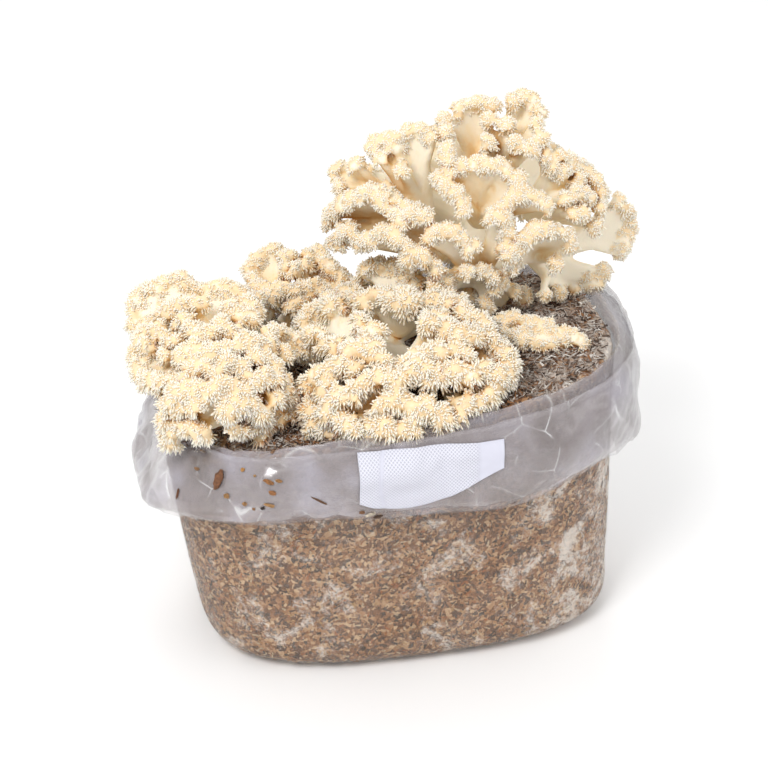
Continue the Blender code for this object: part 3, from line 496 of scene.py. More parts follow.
def patch_material():
    """Spunbonded filter cloth, embossed with small diamonds by a heated roller and smooth
    along its welds: matt and white."""
    material, tree, shader = new_material("embossed filter cloth", Roughness=0.7)
    places = add_node(tree, 'ShaderNodeTexCoord').outputs["Object"]
    split = add_node(tree, 'ShaderNodeSeparateXYZ', links={"Vector": places})
    across, up = split.outputs["X"], split.outputs["Z"]
    # Drawn at 1.6 mm, coarser than the real 1 mm, so that it shows
    turns = 2.0 * math.pi / (1.6 * MM)
    waves = []
    for sign in (1.0, -1.0):
        slanted = add_node(tree, 'ShaderNodeMath', {"operation": 'MULTIPLY_ADD', 1: sign},
                           {0: up, 2: across})
        turned = add_node(tree, 'ShaderNodeMath', {"operation": 'MULTIPLY', 1: turns},
                          {0: slanted.outputs[0]})
        waves.append(add_node(tree, 'ShaderNodeMath', {"operation": 'SINE'},
                              {0: turned.outputs[0]}).outputs[0])
    diamonds = add_node(tree, 'ShaderNodeMath', {"operation": 'MAXIMUM'},
                        {0: waves[0], 1: waves[1]})
    weld = add_node(tree, 'ShaderNodeAttribute', {"attribute_name": "weld"}).outputs["Fac"]
    plain = add_node(tree, 'ShaderNodeMath', {"operation": 'SUBTRACT', 0: 1.0}, {1: weld})
    height = add_node(tree, 'ShaderNodeMath', {"operation": 'MULTIPLY'},
                      {0: diamonds.outputs[0], 1: plain.outputs[0]})
    tone = add_node(tree, 'ShaderNodeValToRGB', links={"Fac": height.outputs[0]},
                    stops=((0.0, "#BDBDCA"), (0.9, "#DEDEE8")))
    colour = add_node(tree, 'ShaderNodeMix', {"data_type": 'RGBA', 7: "#CFCFDC"},
                      {0: weld, 6: tone.outputs["Color"]})
    tree.links.new(colour.outputs[2], shader.inputs["Base Color"])
    bump = add_node(tree, 'ShaderNodeBump', {"Distance": 0.16 * MM, "Strength": 0.7},
                    {"Height": height.outputs[0]})
    tree.links.new(bump.outputs["Normal"], shader.inputs["Normal"])
    return material


def floor_material():
    """Matt white studio paper."""
    return new_material("white studio paper", Base_Color=linear("#FAFAFA"), Roughness=0.9)[0]


def base_row(angle, turn, inset):
    """One row of the rounded bottom edge; turn 0 is on the floor, a quarter turn upright."""
    back = BASE_ROUNDING * (1.0 - math.sin(turn)) + inset
    height = inset + (BASE_ROUNDING - inset) * (1.0 - math.cos(turn))
    return wall_place(angle, height / TOP_MIDDLE, -back, height)


def sunk_in(angle, level):
    """How far the upper wall leans in at the left end, from level 0.75 up."""
    return slump(angle) * np.clip((level - 0.75) / 0.235, 0.0, 1.0)


def row_normals(rows):
    """A direction out of the surface at every point of a closed grid of rows."""
    around = np.roll(rows, -1, axis=1) - np.roll(rows, 1, axis=1)
    along = np.gradient(rows, axis=0)
    normals = np.cross(around, along)
    return normals / (np.linalg.norm(normals, axis=2, keepdims=True) + 1e-12)


def top_relief(x, y):
    """Height of the block's bare top: a sloping plane, lumps, and a mound at the back."""
    spots = np.stack((x * 42.0, y * 42.0, 0.0 * x + 0.7), axis=-1)
    away = np.hypot(x - MOUND_PLACE[0], y - MOUND_PLACE[1]) / MOUND_REACH
    return top_height(x) + TOP_LUMP * rough_field(spots, 1.0) + MOUND_HEIGHT * np.exp(-away * away)


def sawdust_block(material):
    """The block's visible skin: packed flakes on the walls, rough crumbly top."""
    angle = ring_angles(BLOCK_COLUMNS)
    rows = [base_row(angle, turn, BLOCK_INSET) for turn in np.linspace(0.0, math.pi / 2, 7)]
    for level in np.linspace(0.14, 0.965, 62):
        rows.append(wall_place(angle, level, -BLOCK_INSET - 1.1 * sunk_in(angle, level)))
    for turn in np.linspace(0.0, math.pi / 2, 5):
        inward = EDGE_ROUNDING * (1.0 - math.cos(turn))
        level = 0.97
        edge = wall_place(angle, level, -BLOCK_INSET - inward - 1.15 * slump(angle))
        bare = top_relief(edge[:, 0], edge[:, 1]) - EDGE_ROUNDING * (1.0 - math.sin(turn))
        edge[:, 2] = bare
        rows.append(edge)
    rim = rows[-1]
    middle = np.array((TOP_SHIFT[0], TOP_SHIFT[1]))
    for share in np.linspace(0.98, 0.02, 50):
        x = blend(middle[0], rim[:, 0], share)
        y = blend(middle[1], rim[:, 1], share)
        rows.append(np.stack((x, y, top_relief(x, y)), axis=-1))
    rows = np.array(rows)
    wall_rows = len(rows) - 51
    normals = row_normals(rows)
    rough = np.zeros(rows.shape[:2])
    rough[:wall_rows] = -0.45 * MM * (1.0 + rough_field(rows[:wall_rows], 3.2 * MM, 1.0))
    crumbly = rough_field(rows[wall_rows:], 5.0 * MM, 2.0)
    crumbly += 0.8 * rough_field(rows[wall_rows:], 2.2 * MM, 3.0)
    rough[wall_rows:] = 1.0 * MM * crumbly
    rough[:3] = 0.0
    rows = rows + normals * rough[..., None]
    rows[:2, :, 2] = BLOCK_INSET
    places = rows.reshape(-1, 3)
    count = len(places)
    low = np.array([[0.0, 0.0, BLOCK_INSET]])
    high = np.array([[middle[0], middle[1], rows[-1, :, 2].mean()]])
    places = np.concatenate((places, low, high))
    faces = grid_faces(len(rows), BLOCK_COLUMNS)
    piece = mesh_piece("sawdust_block", places, faces)
    build = bmesh.new()
    build.from_mesh(piece.data)
    build.verts.ensure_lookup_table()
    last = count - BLOCK_COLUMNS
    for k in range(BLOCK_COLUMNS):
        n = (k + 1) % BLOCK_COLUMNS
        build.faces.new((build.verts[n], build.verts[k], build.verts[count]))
        build.faces.new((build.verts[last + k], build.verts[last + n], build.verts[count + 1]))
    for face in build.faces:
        face.smooth = True
    build.to_mesh(piece.data)
    build.free()
    shade = np.ones((len(places), 3))
    shade[wall_rows * BLOCK_COLUMNS:] = (0.66, 0.62, 0.6)
    set_colours(piece, "shade", shade)
    piece.data.materials.append(material)
    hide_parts("substrate_block")
    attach(piece, "root")
    return piece


def crumpled(rows, size, depth, seed, fade):
    """Rows of film pushed in and out along facets; fade is a share for every row."""
    normals = row_normals(rows)
    folds = facet_field(rows, size, seed) - 0.35
    return rows - normals * (folds * depth * fade[:, None])[..., None]


def collar_row(angle, down, more_out=0.0):
    """One row of the loose collar at a share of the way from fold to hem."""
    ux = unit_outline(angle)[0]
    fold_z = top_height(TOP_SHIFT[0] + TOP_HALF[0] * ux) + fold_rise(angle)
    height = blend(fold_z, hem_height(angle), down)
    out = stand_out(angle, down) + broad_crease(angle, down) * smooth_step(0.0, 0.4, down)
    out = np.maximum(out, CLOSEST - slump(angle) * (1.0 - down)) + more_out
    return wall_place(angle, level_at(angle, height), out, height)


def through_points(points, steps):
    """Rows of a smooth curve through rows of points, first and last left out as ends."""
    rows = []
    for a, b, c, d in zip(points, points[1:], points[2:], points[3:]):
        for t in np.linspace(0.0, 1.0, steps, endpoint=False):
            rows.append(0.5 * (2 * b + (c - a) * t + (2 * a - 5 * b + 4 * c - d) * t * t
                               + (3 * b - a - 3 * c + d) * t * t * t))
    return rows


def tight_wrinkles(rows):
    """Fine pulls in the film over the block's ends, upright right and slanted left."""
    x, y, z = rows[..., 0], rows[..., 1], rows[..., 2]
    upright = np.stack((x, y, 0.16 * z), axis=-1)
    slanted = np.stack((x + 0.2 * z, y - 0.55 * z, 0.2 * (z + y)), axis=-1)
    right = smooth_step(60.0 * MM, 100.0 * MM, x) * rough_field(upright, 5.0 * MM, 5.0)
    left = smooth_step(60.0 * MM, 95.0 * MM, -x) * rough_field(slanted, 6.0 * MM, 6.0)
    low = 0.4 * rough_field(rows, 14.0 * MM, 7.0)
    return 0.5 * MM * np.maximum(right + left + low, 0.0)


def clear_bag(tight, loose, doubled):
    """The bag: film tight on the block's wall, folded out, and hanging as a collar of an
    outer ply and an inner ply that shows below it at the hem."""
    angle = ring_angles(BAG_COLUMNS)
    rows = [base_row(angle, turn, 0.0) for turn in np.linspace(0.0, math.pi / 2, 7)]
    for level in np.linspace(0.13, 0.97, 44):
        rows.append(wall_place(angle, level, -sunk_in(angle, level)))
    wall_rows = len(rows)
    fold = [rows[-1], wall_place(angle, 0.985, -slump(angle))]
    for out_share, rise_share in ((0.15, 0.7), (0.7, 1.0)):
        room = FOLD_ROOM * out_share * (1.0 - 0.6 * slump(angle) / SLUMP)
        edge = wall_place(angle, 1.0, room - slump(angle))
        edge[:, 2] += fold_rise(angle) * rise_share
        fold.append(edge)
    fold.append(collar_row(angle, COLLAR_ROWS[0][0]))
    fold.append(collar_row(angle, 0.16))
    rows += through_points(fold, 4)
    downs = np.linspace(COLLAR_ROWS[0][0], 1.0, COLLAR_STEPS)
    rows += [collar_row(angle, down) for down in downs]
    rows = np.array(rows)
    pulls = tight_wrinkles(rows[3:wall_rows])
    rows[3:wall_rows] += row_normals(rows)[3:wall_rows] * pulls[..., None]
    fade = np.zeros(len(rows))
    fade[wall_rows:] = smooth_step(0, 8, np.arange(len(rows) - wall_rows))
    rows = crumpled(rows, 17.0 * MM, 1.9 * MM, 1.0, fade)
    rows = crumpled(rows, 7.0 * MM, 0.6 * MM, 2.0, fade)
    outer = np.array([collar_row(angle, d, 0.7 * MM) for d in np.linspace(0.02, 0.86, 30)])
    outer = crumpled(outer, 21.0 * MM, 2.1 * MM, 3.0, np.ones(len(outer)))
    outer = crumpled(outer, 8.0 * MM, 0.7 * MM, 4.0, np.ones(len(outer)))
    pieces = []
    for name, grid, film in (("bag_film", rows, loose), ("bag_outer_ply", outer, doubled)):
        faces = grid_faces(len(grid), BAG_COLUMNS)
        piece = mesh_piece(name, grid, faces)
        piece.data.materials.append(tight)
        piece.data.materials.append(film)
        first = wall_rows * BAG_COLUMNS if name == "bag_film" else 0
        index = (np.arange(len(faces)) >= first).astype(np.int32)
        piece.data.polygons.foreach_set("material_index", index)
        pieces.append(piece)
    bag, ply = pieces
    floor = bmesh.new()
    floor.from_mesh(bag.data)
    floor.verts.ensure_lookup_table()
    bottom = floor.faces.new([floor.verts[k] for k in reversed(range(BAG_COLUMNS))])
    bmesh.ops.poke(floor, faces=[bottom])
    floor.to_mesh(bag.data)
    floor.free()
    for piece in pieces:
        shell = piece.modifiers.new("film", 'SOLIDIFY')
        shell.thickness = FILM
        shell.offset = -1.0
        apply_all(piece)
        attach(piece, "root")
    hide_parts("grow_bag")
    return bag, ply


def surface_tree(*pieces):
    """One search tree over the faces of several pieces."""
    places, faces = [], []
    for piece in pieces:
        start = len(places)
        places += [v.co.copy() for v in piece.data.vertices]
        faces += [tuple(start + k for k in p.vertices) for p in piece.data.polygons]
    return BVHTree.FromPolygons(places, faces)


def filter_patch(collar, material):
    """The patch, laid on the collar's front and a little stiffer than the film under it.
    Its lower edge is cut round on the left and rises to the right."""
    across, up = 110, 44
    x = np.linspace(PATCH_FROM, PATCH_TO, across + 1)
    shares = np.linspace(0.0, 1.0, len(PATCH_DROPS))
    curve = np.polyfit(shares, PATCH_DROPS, 4)
    drop = np.polyval(curve, np.linspace(0.0, 1.0, across + 1)) * MM
    depths = np.zeros((up + 1, across + 1))
    z = PATCH_HIGH - drop[None] * (1.0 - np.linspace(0.0, 1.0, up + 1)[:, None])
    for j in range(up + 1):
        for k in range(across + 1):
            spot = collar.ray_cast(Vector((x[k], -0.2, z[j, k])), Vector((0.0, 1.0, 0.0)))[0]
            depths[j, k] = spot.y
    for _ in range(14):
        padded = np.pad(depths, 1, mode='edge')
        around = (padded[:-2, 1:-1] + padded[2:, 1:-1] + padded[1:-1, :-2] + padded[1:-1, 2:]) / 4
        depths = np.minimum(depths, around)
    rows = np.linspace(-1.0, 1.0, up + 1)[:, None]
    seam = WELD_PLACE + WELD_BOW * rows ** 2
    weld = np.exp(-((x[None] - seam) / WELD_WIDTH) ** 2)
    margin = smooth_step(SMOOTH_FROM, SMOOTH_FROM + 3.0 * MM, x)[None] + 0.0 * rows
    depths = depths - 0.4 * MM + 0.25 * MM * weld
    places = np.stack((x[None] + 0.0 * rows, depths, z), axis=-1)
    piece = mesh_piece("filter_patch_cloth", places, grid_faces(up + 1, across + 1, closed=False))
    set_attribute(piece, "weld", np.maximum(weld, margin).ravel())
    thick = piece.modifiers.new("cloth", 'SOLIDIFY')
    thick.thickness = 0.45 * MM
    thick.offset = 1.0
    apply_all(piece)
    piece.data.materials.append(material)
    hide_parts("filter_patch")
    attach(piece, "root")
    return piece


# Every rim is a ruffled edge where lobes stand: left end, middle and right end in mm,
# as seen from the front, and the number of lobes along it. Rims grow from their fork.
REAR = {
    "rear_crown": ((46, 38, 192), 5.7, (
        ("right knob", (58, 34, 236), (65, 38, 237), (69, 30, 233), 4),
        ("right knob low", (65, 22, 230), (65, 16, 226), (60, 12, 222), 3),
        ("neck tuft", (51, 22, 231), (52, 18, 228), (53, 15, 225), 2),
        ("crown", (26, 30, 233), (38, 36, 236), (48, 34, 235), 5),
        ("crown left chain", (25, 23, 230), (24, 16, 224), (24, 12, 219), 3),
        ("crown inner", (45, 25, 233), (43, 21, 229), (42, 17, 225), 2))),
    "rear_left": ((17, 33, 186), 5.6, (
        ("crown left", (4, 30, 225), (12, 29, 229), (18, 23, 226), 4),
        ("left top", (0, 33, 224), (-6, 33, 221), (-4, 27, 217), 4),
        ("left top inner", (3, 28, 221), (3, 24, 217), (4, 20, 214), 2),
        ("left bud", (-14, 32, 213), (-20, 42, 208), (-21, 34, 203), 4),
        ("left shelf", (-25, 37, 188), (-21, 28, 197), (-13, 20, 204), 5),
        ("left shelf low", (-25, 40, 182), (-24, 32, 180), (-22, 26, 179), 2),
        ("left ridge", (-9, 20, 205), (-3, 14, 200), (2, 9, 196), 4))),
    "rear_low_left": ((24, 26, 170), 5.8, (
        ("lower left", (-24, 31, 177), (-21, 22, 186), (-15, 16, 184), 4),
        ("lower left front", (-11, 12, 186), (-4, 8, 190), (4, 4, 183), 5),
        ("middle left", (-4, 21, 205), (1, 16, 200), (9, 11, 197), 4),
        ("middle ledge", (0, 10, 195), (5, 8, 197), (11, 5, 197), 3),
        ("lower mid", (4, 3, 178), (9, 1, 181), (15, 1, 175), 4))),
    "rear_middle": ((42, 27, 184), 5.8, (
        ("middle fan", (20, 11, 213), (32, 11, 218), (45, 9, 217), 6),
        ("middle fan right", (48, 8, 216), (53, 6, 212), (53, 4, 207), 3),
        ("middle fan drop", (21, 6, 211), (26, 4, 207), (28, 1, 201), 4),
        ("front fan", (43, 0, 200), (55, 3, 205), (65, 2, 199), 6))),
    "rear_front": ((40, 20, 158), 5.8, (
        ("front drop", (40, -1, 197), (47, -2, 194), (46, -3, 181), 5),
        ("lower centre", (12, 2, 187), (21, 0, 192), (31, -2, 183), 6),
        ("lower front", (30, -1, 172), (41, 0, 168), (40, 5, 151), 5),
        ("lower front left", (16, 3, 172), (21, 3, 166), (23, 6, 159), 3),
        ("lower tan", (46, 6, 162), (53, 12, 153), (60, 18, 148), 3))),
    "rear_right": ((67, 30, 184), 5.7, (
        ("right crown", (68, 14, 218), (80, 18, 214), (89, 20, 206), 5),
        ("right crown low", (93, 19, 201), (96, 18, 196), (93, 13, 191), 3),
        ("right inner", (71, 14, 213), (77, 14, 208), (84, 15, 204), 3),
        ("right mid", (75, 6, 200), (81, 8, 201), (87, 10, 199), 3),
        ("right mid low", (79, 4, 193), (84, 6, 193), (90, 9, 184), 3))),
    "rear_arm": ((68, 27, 164), 5.8, (
        ("right arm", (107, 24, 188), (115, 29, 174), (109, 25, 162), 6),
        ("right front", (55, -2, 187), (66, -1, 189), (76, 2, 182), 5),
        ("right front drop", (77, 2, 178), (75, 2, 174), (72, 2, 170), 2),
        ("right front tuft", (53, -3, 182), (48, -4, 180), (51, -1, 172), 3),
        ("lower right", (70, 10, 153), (83, 21, 148), (94, 22, 149), 4),
        ("lower right end", (101, 22, 154), (101, 22, 150), (97, 21, 149), 2))),
}
FRONT = {
    "front_top": ((-2, 2, 144), 6.2, (
        ("top fan", (-10, 22, 163), (1, 22, 165), (6, 17, 161), 5),
        ("top right lobes", (8, 12, 159), (4, -3, 162), (-1, -9, 164), 2),
        ("upper step", (-18, -4, 162), (-10, -3, 163), (-3, -14, 163), 5),
        ("crest", (0, -13, 164), (9, -10, 163), (16, -15, 162), 4),
        ("crest back", (13, -1, 162), (17, -8, 162), (21, -11, 161), 3))),
    "front_left": ((-26, -14, 137), 6.2, (
        ("upper left", (-29, 5, 157), (-22, 17, 155), (-20, -2, 161), 4),
        ("left arm", (-44, 8, 146), (-37, 12, 151), (-32, 4, 156), 4),
        ("left arm low", (-43, -14, 152), (-40, -25, 154), (-36, -31, 155), 3),
        ("spiny fan", (-25, -22, 161), (-21, -31, 160), (-25, -37, 157), 3),
        ("left fan", (-43, -38, 147), (-37, -39, 151), (-31, -44, 151), 4),
        ("left tan top", (-50, -35, 140), (-46, -38, 145), (-43, -45, 143), 3),
        ("left tan", (-51, -40, 129), (-48, -46, 134), (-43, -52, 133), 4),
        ("left tan low", (-50, -48, 127), (-45, -52, 127), (-41, -54, 127), 3))),
    "front_middle": ((-5, -28, 138), 6.2, (
        ("bowl", (2, -33, 162), (8, -28, 162), (12, -36, 160), 4),
        ("bowl right", (14, -40, 158), (19, -36, 159), (22, -39, 157), 3),
        ("middle ledge", (4, -48, 156), (10, -46, 156), (15, -48, 154), 3),
        ("middle tuft", (-8, -49, 156), (-5, -48, 158), (-2, -50, 156), 2),
        ("centre fan", (-32, -39, 156), (-25, -40, 158), (-18, -48, 156), 5),
        ("bright fan", (-13, -55, 152), (-6, -54, 154), (0, -58, 151), 4))),
    "front_right": ((14, -30, 138), 6.2, (
        ("right ridge", (20, -17, 162), (24, -27, 160), (28, -34, 157), 4),
        ("right edge", (30, -37, 155), (34, -42, 151), (36, -48, 147), 4),
        ("right shelf", (4, -57, 151), (10, -55, 151), (16, -56, 149), 3),
        ("right low shelf", (19, -53, 150), (26, -53, 148), (33, -53, 144), 4),
        ("right hang", (28, -55, 144), (24, -60, 141), (19, -62, 139), 3),
        ("right foot", (11, -64, 140), (10, -66, 136), (5, -66, 133), 3))),
    "front_petals": ((-15, -42, 131), 6.0, (
        ("centre low fan", (-31, -54, 147), (-23, -54, 151), (-15, -58, 150), 5),
        ("left petals", (-43, -54, 136), (-40, -53, 143), (-34, -55, 145), 4),
        ("petals left", (-38, -60, 134), (-32, -63, 132), (-26, -65, 132), 4),
        ("petals high", (-24, -62, 142), (-16, -63, 144), (-9, -66, 141), 5),
        ("petals", (-23, -67, 134), (-17, -68, 132), (-11, -69, 134), 4),
        ("petals right", (-6, -66, 142), (-2, -67, 140), (2, -69, 136), 4))),
}
LEFT = {
    "left_outer": ((-104, -5, 144), 5.6, (
        ("outer top", (-119, 22, 159), (-116, 26, 161), (-111, 26, 162), 4),
        ("outer low", (-120, 19, 155), (-119, 15, 153), (-116, 10, 152), 3),
        ("outer mid", (-117, 3, 153), (-119, -3, 152), (-117, -12, 155), 3),
        ("outer face", (-112, -6, 159), (-110, -15, 159), (-106, -22, 160), 3),
        ("left edge", (-121, -8, 149), (-121, -17, 147), (-119, -24, 146), 4),
        ("underside", (-117, -29, 148), (-112, -36, 150), (-105, -40, 153), 4))),
    "left_top": ((-92, 6, 146), 5.6, (
        ("top", (-110, 26, 162), (-103, 28, 165), (-96, 27, 165), 5),
        ("top step", (-95, 25, 162), (-92, 21, 160), (-92, 4, 165), 2),
        ("back top", (-87, 21, 161), (-80, 22, 162), (-74, 19, 161), 4),
        ("back end", (-73, 17, 160), (-71, 8, 160), (-69, 2, 160), 3),
        ("inner", (-110, 18, 157), (-106, 5, 161), (-100, 4, 164), 4),
        ("inner right", (-101, -11, 164), (-98, -16, 163), (-96, -23, 162), 3),
        ("cleft right", (-90, -21, 163), (-86, -17, 164), (-82, -21, 163), 3),
        ("saddle", (-81, -7, 165), (-77, -11, 164), (-72, -11, 163), 3))),
    "left_middle": ((-84, -22, 140), 5.6, (
        ("face", (-110, -26, 157), (-104, -31, 158), (-99, -31, 160), 3),
        ("face right", (-99, -31, 161), (-93, -34, 160), (-87, -34, 161), 4),
        ("waist", (-82, -33, 161), (-76, -29, 160), (-68, -27, 157), 4),
        ("waist low", (-75, -36, 157), (-70, -35, 155), (-66, -36, 151), 3),
        ("middle row", (-102, -39, 155), (-97, -39, 157), (-91, -43, 155), 3),
        ("middle row right", (-86, -40, 157), (-81, -41, 156), (-77, -44, 152), 3),
        ("bridge", (-66, -20, 158), (-58, -5, 151), (-50, -5, 147), 4),
        ("bridge low", (-60, -24, 151), (-53, -9, 145), (-47, -12, 144), 3))),
    "left_foot": ((-88, -34, 130), 5.6, (
        ("low row", (-108, -43, 148), (-102, -46, 150), (-96, -49, 149), 4),
        ("low row mid", (-94, -49, 150), (-88, -48, 152), (-82, -49, 149), 4),
        ("low row right", (-77, -46, 150), (-70, -41, 150), (-62, -38, 144), 4),
        ("low right", (-68, -45, 142), (-61, -37, 138), (-56, -35, 132), 4),
        ("foot top", (-112, -42, 141), (-107, -45, 144), (-102, -50, 144), 4),
        ("foot edge", (-113, -41, 133), (-112, -37, 126), (-111, -40, 123), 3),
        ("foot", (-109, -43, 130), (-104, -49, 134), (-99, -51, 132), 4),
        ("front face", (-89, -54, 143), (-82, -52, 144), (-75, -50, 139), 4),
        ("front low", (-87, -53, 134), (-82, -50, 131), (-75, -46, 127), 3),
        ("front right", (-75, -48, 132), (-69, -43, 129), (-61, -37, 129), 4))),
}
BACK_LEFT = {
    "back_left_crown": ((-49, 50, 138), 5.2, (
        ("top left", (-59, 61, 155), (-54, 62, 158), (-49, 61, 159), 5),
        ("top end", (-46, 61, 158), (-45, 53, 159), (-47, 47, 157), 3),
        ("left", (-62, 57, 154), (-61, 49, 153), (-60, 44, 150), 3),
        ("left face", (-58, 43, 151), (-57, 40, 148), (-55, 38, 146), 3),
        ("saddle", (-52, 39, 150), (-48, 40, 152), (-44, 38, 150), 3))),
    "back_left_arm": ((-36, 50, 138), 5.2, (
        ("small top", (-42, 45, 156), (-39, 47, 157), (-37, 48, 158), 2),
        ("right top", (-34, 55, 158), (-29, 60, 158), (-27, 55, 156), 4),
        ("right slope", (-26, 50, 156), (-23, 47, 153), (-20, 45, 150), 4),
        ("middle", (-40, 39, 150), (-36, 39, 151), (-31, 38, 148), 3),
        ("right low", (-29, 40, 149), (-24, 40, 147), (-20, 41, 143), 3),
        ("skirt", (-46, 36, 144), (-41, 36, 144), (-34, 36, 140), 4))),
}
SPROUT = {
    "side_sprout": ((58, 0, 138), 4.8, (
        ("top", (46, -6, 146), (51, -6, 148), (56, -9, 147), 4),
        ("right", (58, -10, 147), (62, -10, 146), (67, -12, 145), 3),
        ("left", (46, -12, 143), (49, -14, 143), (52, -18, 143), 3),
        ("middle", (55, -14, 146), (60, -14, 145), (65, -16, 144), 3),
        ("low", (58, -24, 143), (63, -25, 143), (68, -22, 143), 3),
        ("tip", (71, -18, 144), (75, -22, 144), (77, -27, 143), 3))),
}
# Each cluster's thick core, from which its branches fork: its balls in mm with a radius.
# The core also bears the lobes of the hidden far side, as mirror images about a middle y
CORES = {
    "rear_trunk": (((46, 36, 137, 15), (47, 38, 150, 14), (48, 54, 170, 11)), REAR, 40),
    "front_stem": (((-8, -12, 127, 17), (-8, 2, 134, 10), (-8, 10, 138, 8)), FRONT, -8),
    "left_stem": (((-90, -6, 120, 16), (-91, 4, 130, 11), (-90, 14, 136, 8)), LEFT, 2),
    "back_left_stem": (((-44, 51, 125, 8), (-42, 51, 130, 7)), BACK_LEFT, None),
}
FAR_LOBE = 6.0
FAR_REACH = 24

# Teeth of each cluster: usual length and radius in mm, droop, and how many per square mm,
# then the size of its lobes against those of the solid
TEETH = {
    "rear": (1.4, 0.46, 0.12, 1.25, 0.84),
    "front": (2.3, 0.5, 0.3, 0.9, 0.93),
    "left": (1.8, 0.47, 0.25, 1.05, 0.96),
    "back": (1.6, 0.45, 0.15, 1.1, 0.95),
    "side": (1.5, 0.46, 0.05, 1.1, 0.92),
}
CLUMP = 4
CLUMP_REACH = 0.6 * MM
SKIN_VOXEL = 1.2 * MM
BUDS = 11
BUD_SIZES = (0.32, 0.5)
CORE_RIBS = 1.6
RIBS = 2
RAYS = 10
RAY_REACH = 17.0 * MM


def along_rim(left, middle, right, count):
    """Lobe centres evenly along the arc through a rim's three points."""
    a, b, c = Vector(left), Vector(middle), Vector(right)
    control = b * 2.0 - (a + c) * 0.5
    spots = []
    for k in range(count):
        t = k / (count - 1)
        spot = a * (1 - t) ** 2 + control * 2 * t * (1 - t) + c * t * t
        spots.append(spot * MM)
    return spots


def far_rims(cluster, middle_y):
    """Mirror images of a cluster's front rims, for its hidden far side."""
    far = []
    for _, _, rims in cluster.values():
        for name, left, middle, right, count in rims:
            twin = [(p[0] + 3, 2 * middle_y - p[1] - 4, p[2] - 5) for p in (left, middle, right)]
            bare = top_height(twin[1][0] * MM) / MM
            if middle[1] < middle_y - FAR_REACH and twin[1][2] > bare + 9:
                far.append((name + " far", *twin, max(2, count - 1)))
    return far


def branch_parts(fork, lobe_size, rims, slim, stout, chance):
    """Fans from the fork to every rim, as ribs side by side that melt into a thin wall,
    and the lobes along the rims: place, radius and direction."""
    base = Vector(fork) * MM
    ribs, lobes = [], []
    for _, left, middle, right, count in rims:
        spots = along_rim(left, middle, right, count)
        centre = sum(spots, Vector()) / count
        knee = base.lerp(centre, 0.5)
        for spot in along_rim(left, middle, right, RIBS * count):
            bend = knee.lerp(spot, 0.4)
            end = spot + (base - spot).normalized() * 1.5 * MM
            ribs.append(((base, 5.2 * stout * MM), (bend, 2.9 * stout * MM),
                         (end, 1.9 * stout * MM)))
        for spot in spots:
            outward = (spot - base).normalized()
            whole = lobe_size * MM * chance.uniform(0.85, 1.12)
            lobes.append((spot + outward * whole * (1.0 - slim), whole * slim, outward))
    return ribs, lobes


def buds_of(lobes, chance):
    """Rounded buds crowded on the outer side of every lobe, as on a cauliflower."""
    buds = []
    for spot, radius, outward in lobes:
        for _ in range(BUDS):
            lean = Vector((chance.gauss(0, 1), chance.gauss(0, 1), chance.gauss(0, 1)))
            way = (lean.normalized() + outward * 0.65).normalized()
            size = radius * chance.uniform(*BUD_SIZES)
            reach = (radius - size) * chance.uniform(0.9, 1.3)
            buds.append((spot + way * reach, size, way))
    return buds


def grown_skin(name, limbs, balls):
    """Limbs, lobes and buds melted into one closed skin."""
    curve = bpy.data.curves.new(name, 'CURVE')
    curve.dimensions = '3D'
    curve.bevel_depth = 1.0
    curve.bevel_resolution = 2
    curve.use_fill_caps = True
    for points in limbs:
        line = curve.splines.new('POLY')
        line.points.add(len(points) - 1)
        for spot, (place, radius) in zip(line.points, points):
            spot.co = (*place, 1.0)
            spot.radius = radius
    tubes = bpy.data.objects.new(name + "_tubes", curve)
    bpy.context.scene.collection.objects.link(tubes)
    graph = bpy.context.evaluated_depsgraph_get()
    mesh = bpy.data.meshes.new_from_object(tubes.evaluated_get(graph))
    bpy.data.objects.remove(tubes, do_unlink=True)
    build = bmesh.new()
    build.from_mesh(mesh)
    for centre, radius in balls:
        place = Matrix.Translation(centre)
        fine = 2 if radius > 3.5 * MM else 1
        bmesh.ops.create_icosphere(build, subdivisions=fine, radius=radius, matrix=place)
    build.to_mesh(mesh)
    build.free()
    mesh.materials.clear()
    piece = bpy.data.objects.new(name, mesh)
    bpy.context.scene.collection.objects.link(piece)
    skin = piece.modifiers.new("skin", 'REMESH')
    skin.mode = 'VOXEL'
    skin.voxel_size = SKIN_VOXEL
    soften = piece.modifiers.new("soften", 'SMOOTH')
    soften.factor = 0.5
    soften.iterations = 1
    apply_all(piece)
    piece.data.polygons.foreach_set("use_smooth", np.ones(len(piece.data.polygons), dtype=bool))
    return piece


def read_vectors(items, name):
    values = np.empty(len(items) * 3, dtype=np.float32)
    items.foreach_get(name, values)
    return values.reshape(-1, 3).astype(float)


def crown_share(places, buds):
    """How much each place lies on the toothed outer side of its nearest bud, and the
    bud's own direction there."""
    tree = kdtree.KDTree(len(buds))
    for k, (spot, _, _) in enumerate(buds):
        tree.insert(spot, k)
    tree.balance()
    share = np.zeros(len(places))
    outward = np.zeros((len(places), 3))
    for k, place in enumerate(places):
        centre, index, away = tree.find(place)
        _, radius, way = buds[index]
        lean = (Vector(place) - centre).normalized().dot(way)
        near = smooth_step(1.7, 1.25, away / radius)
        share[k] = smooth_step(-0.5, 0.15, lean) * near
        outward[k] = way
    return share, outward


def open_sky(places, normals, tree, dice):
    """The share of directions off the surface that leave the growth freely; the flesh colour uses
    it as painted shade.
    """
    ways = dice.normal(size=(RAYS, 3))
    ways /= np.linalg.norm(ways, axis=1, keepdims=True)
    free = np.zeros(len(places))
    for k, (place, normal) in enumerate(zip(places, normals)):
        start = Vector(place + normal * 0.8 * MM)
        for way in ways:
            lean = way if way @ normal > 0.0 else -way
            hit = tree.ray_cast(start, Vector(lean + 0.35 * normal), RAY_REACH)[3]
            free[k] += 1.0 if hit is None else 0.55 * hit / RAY_REACH
    return free / RAYS


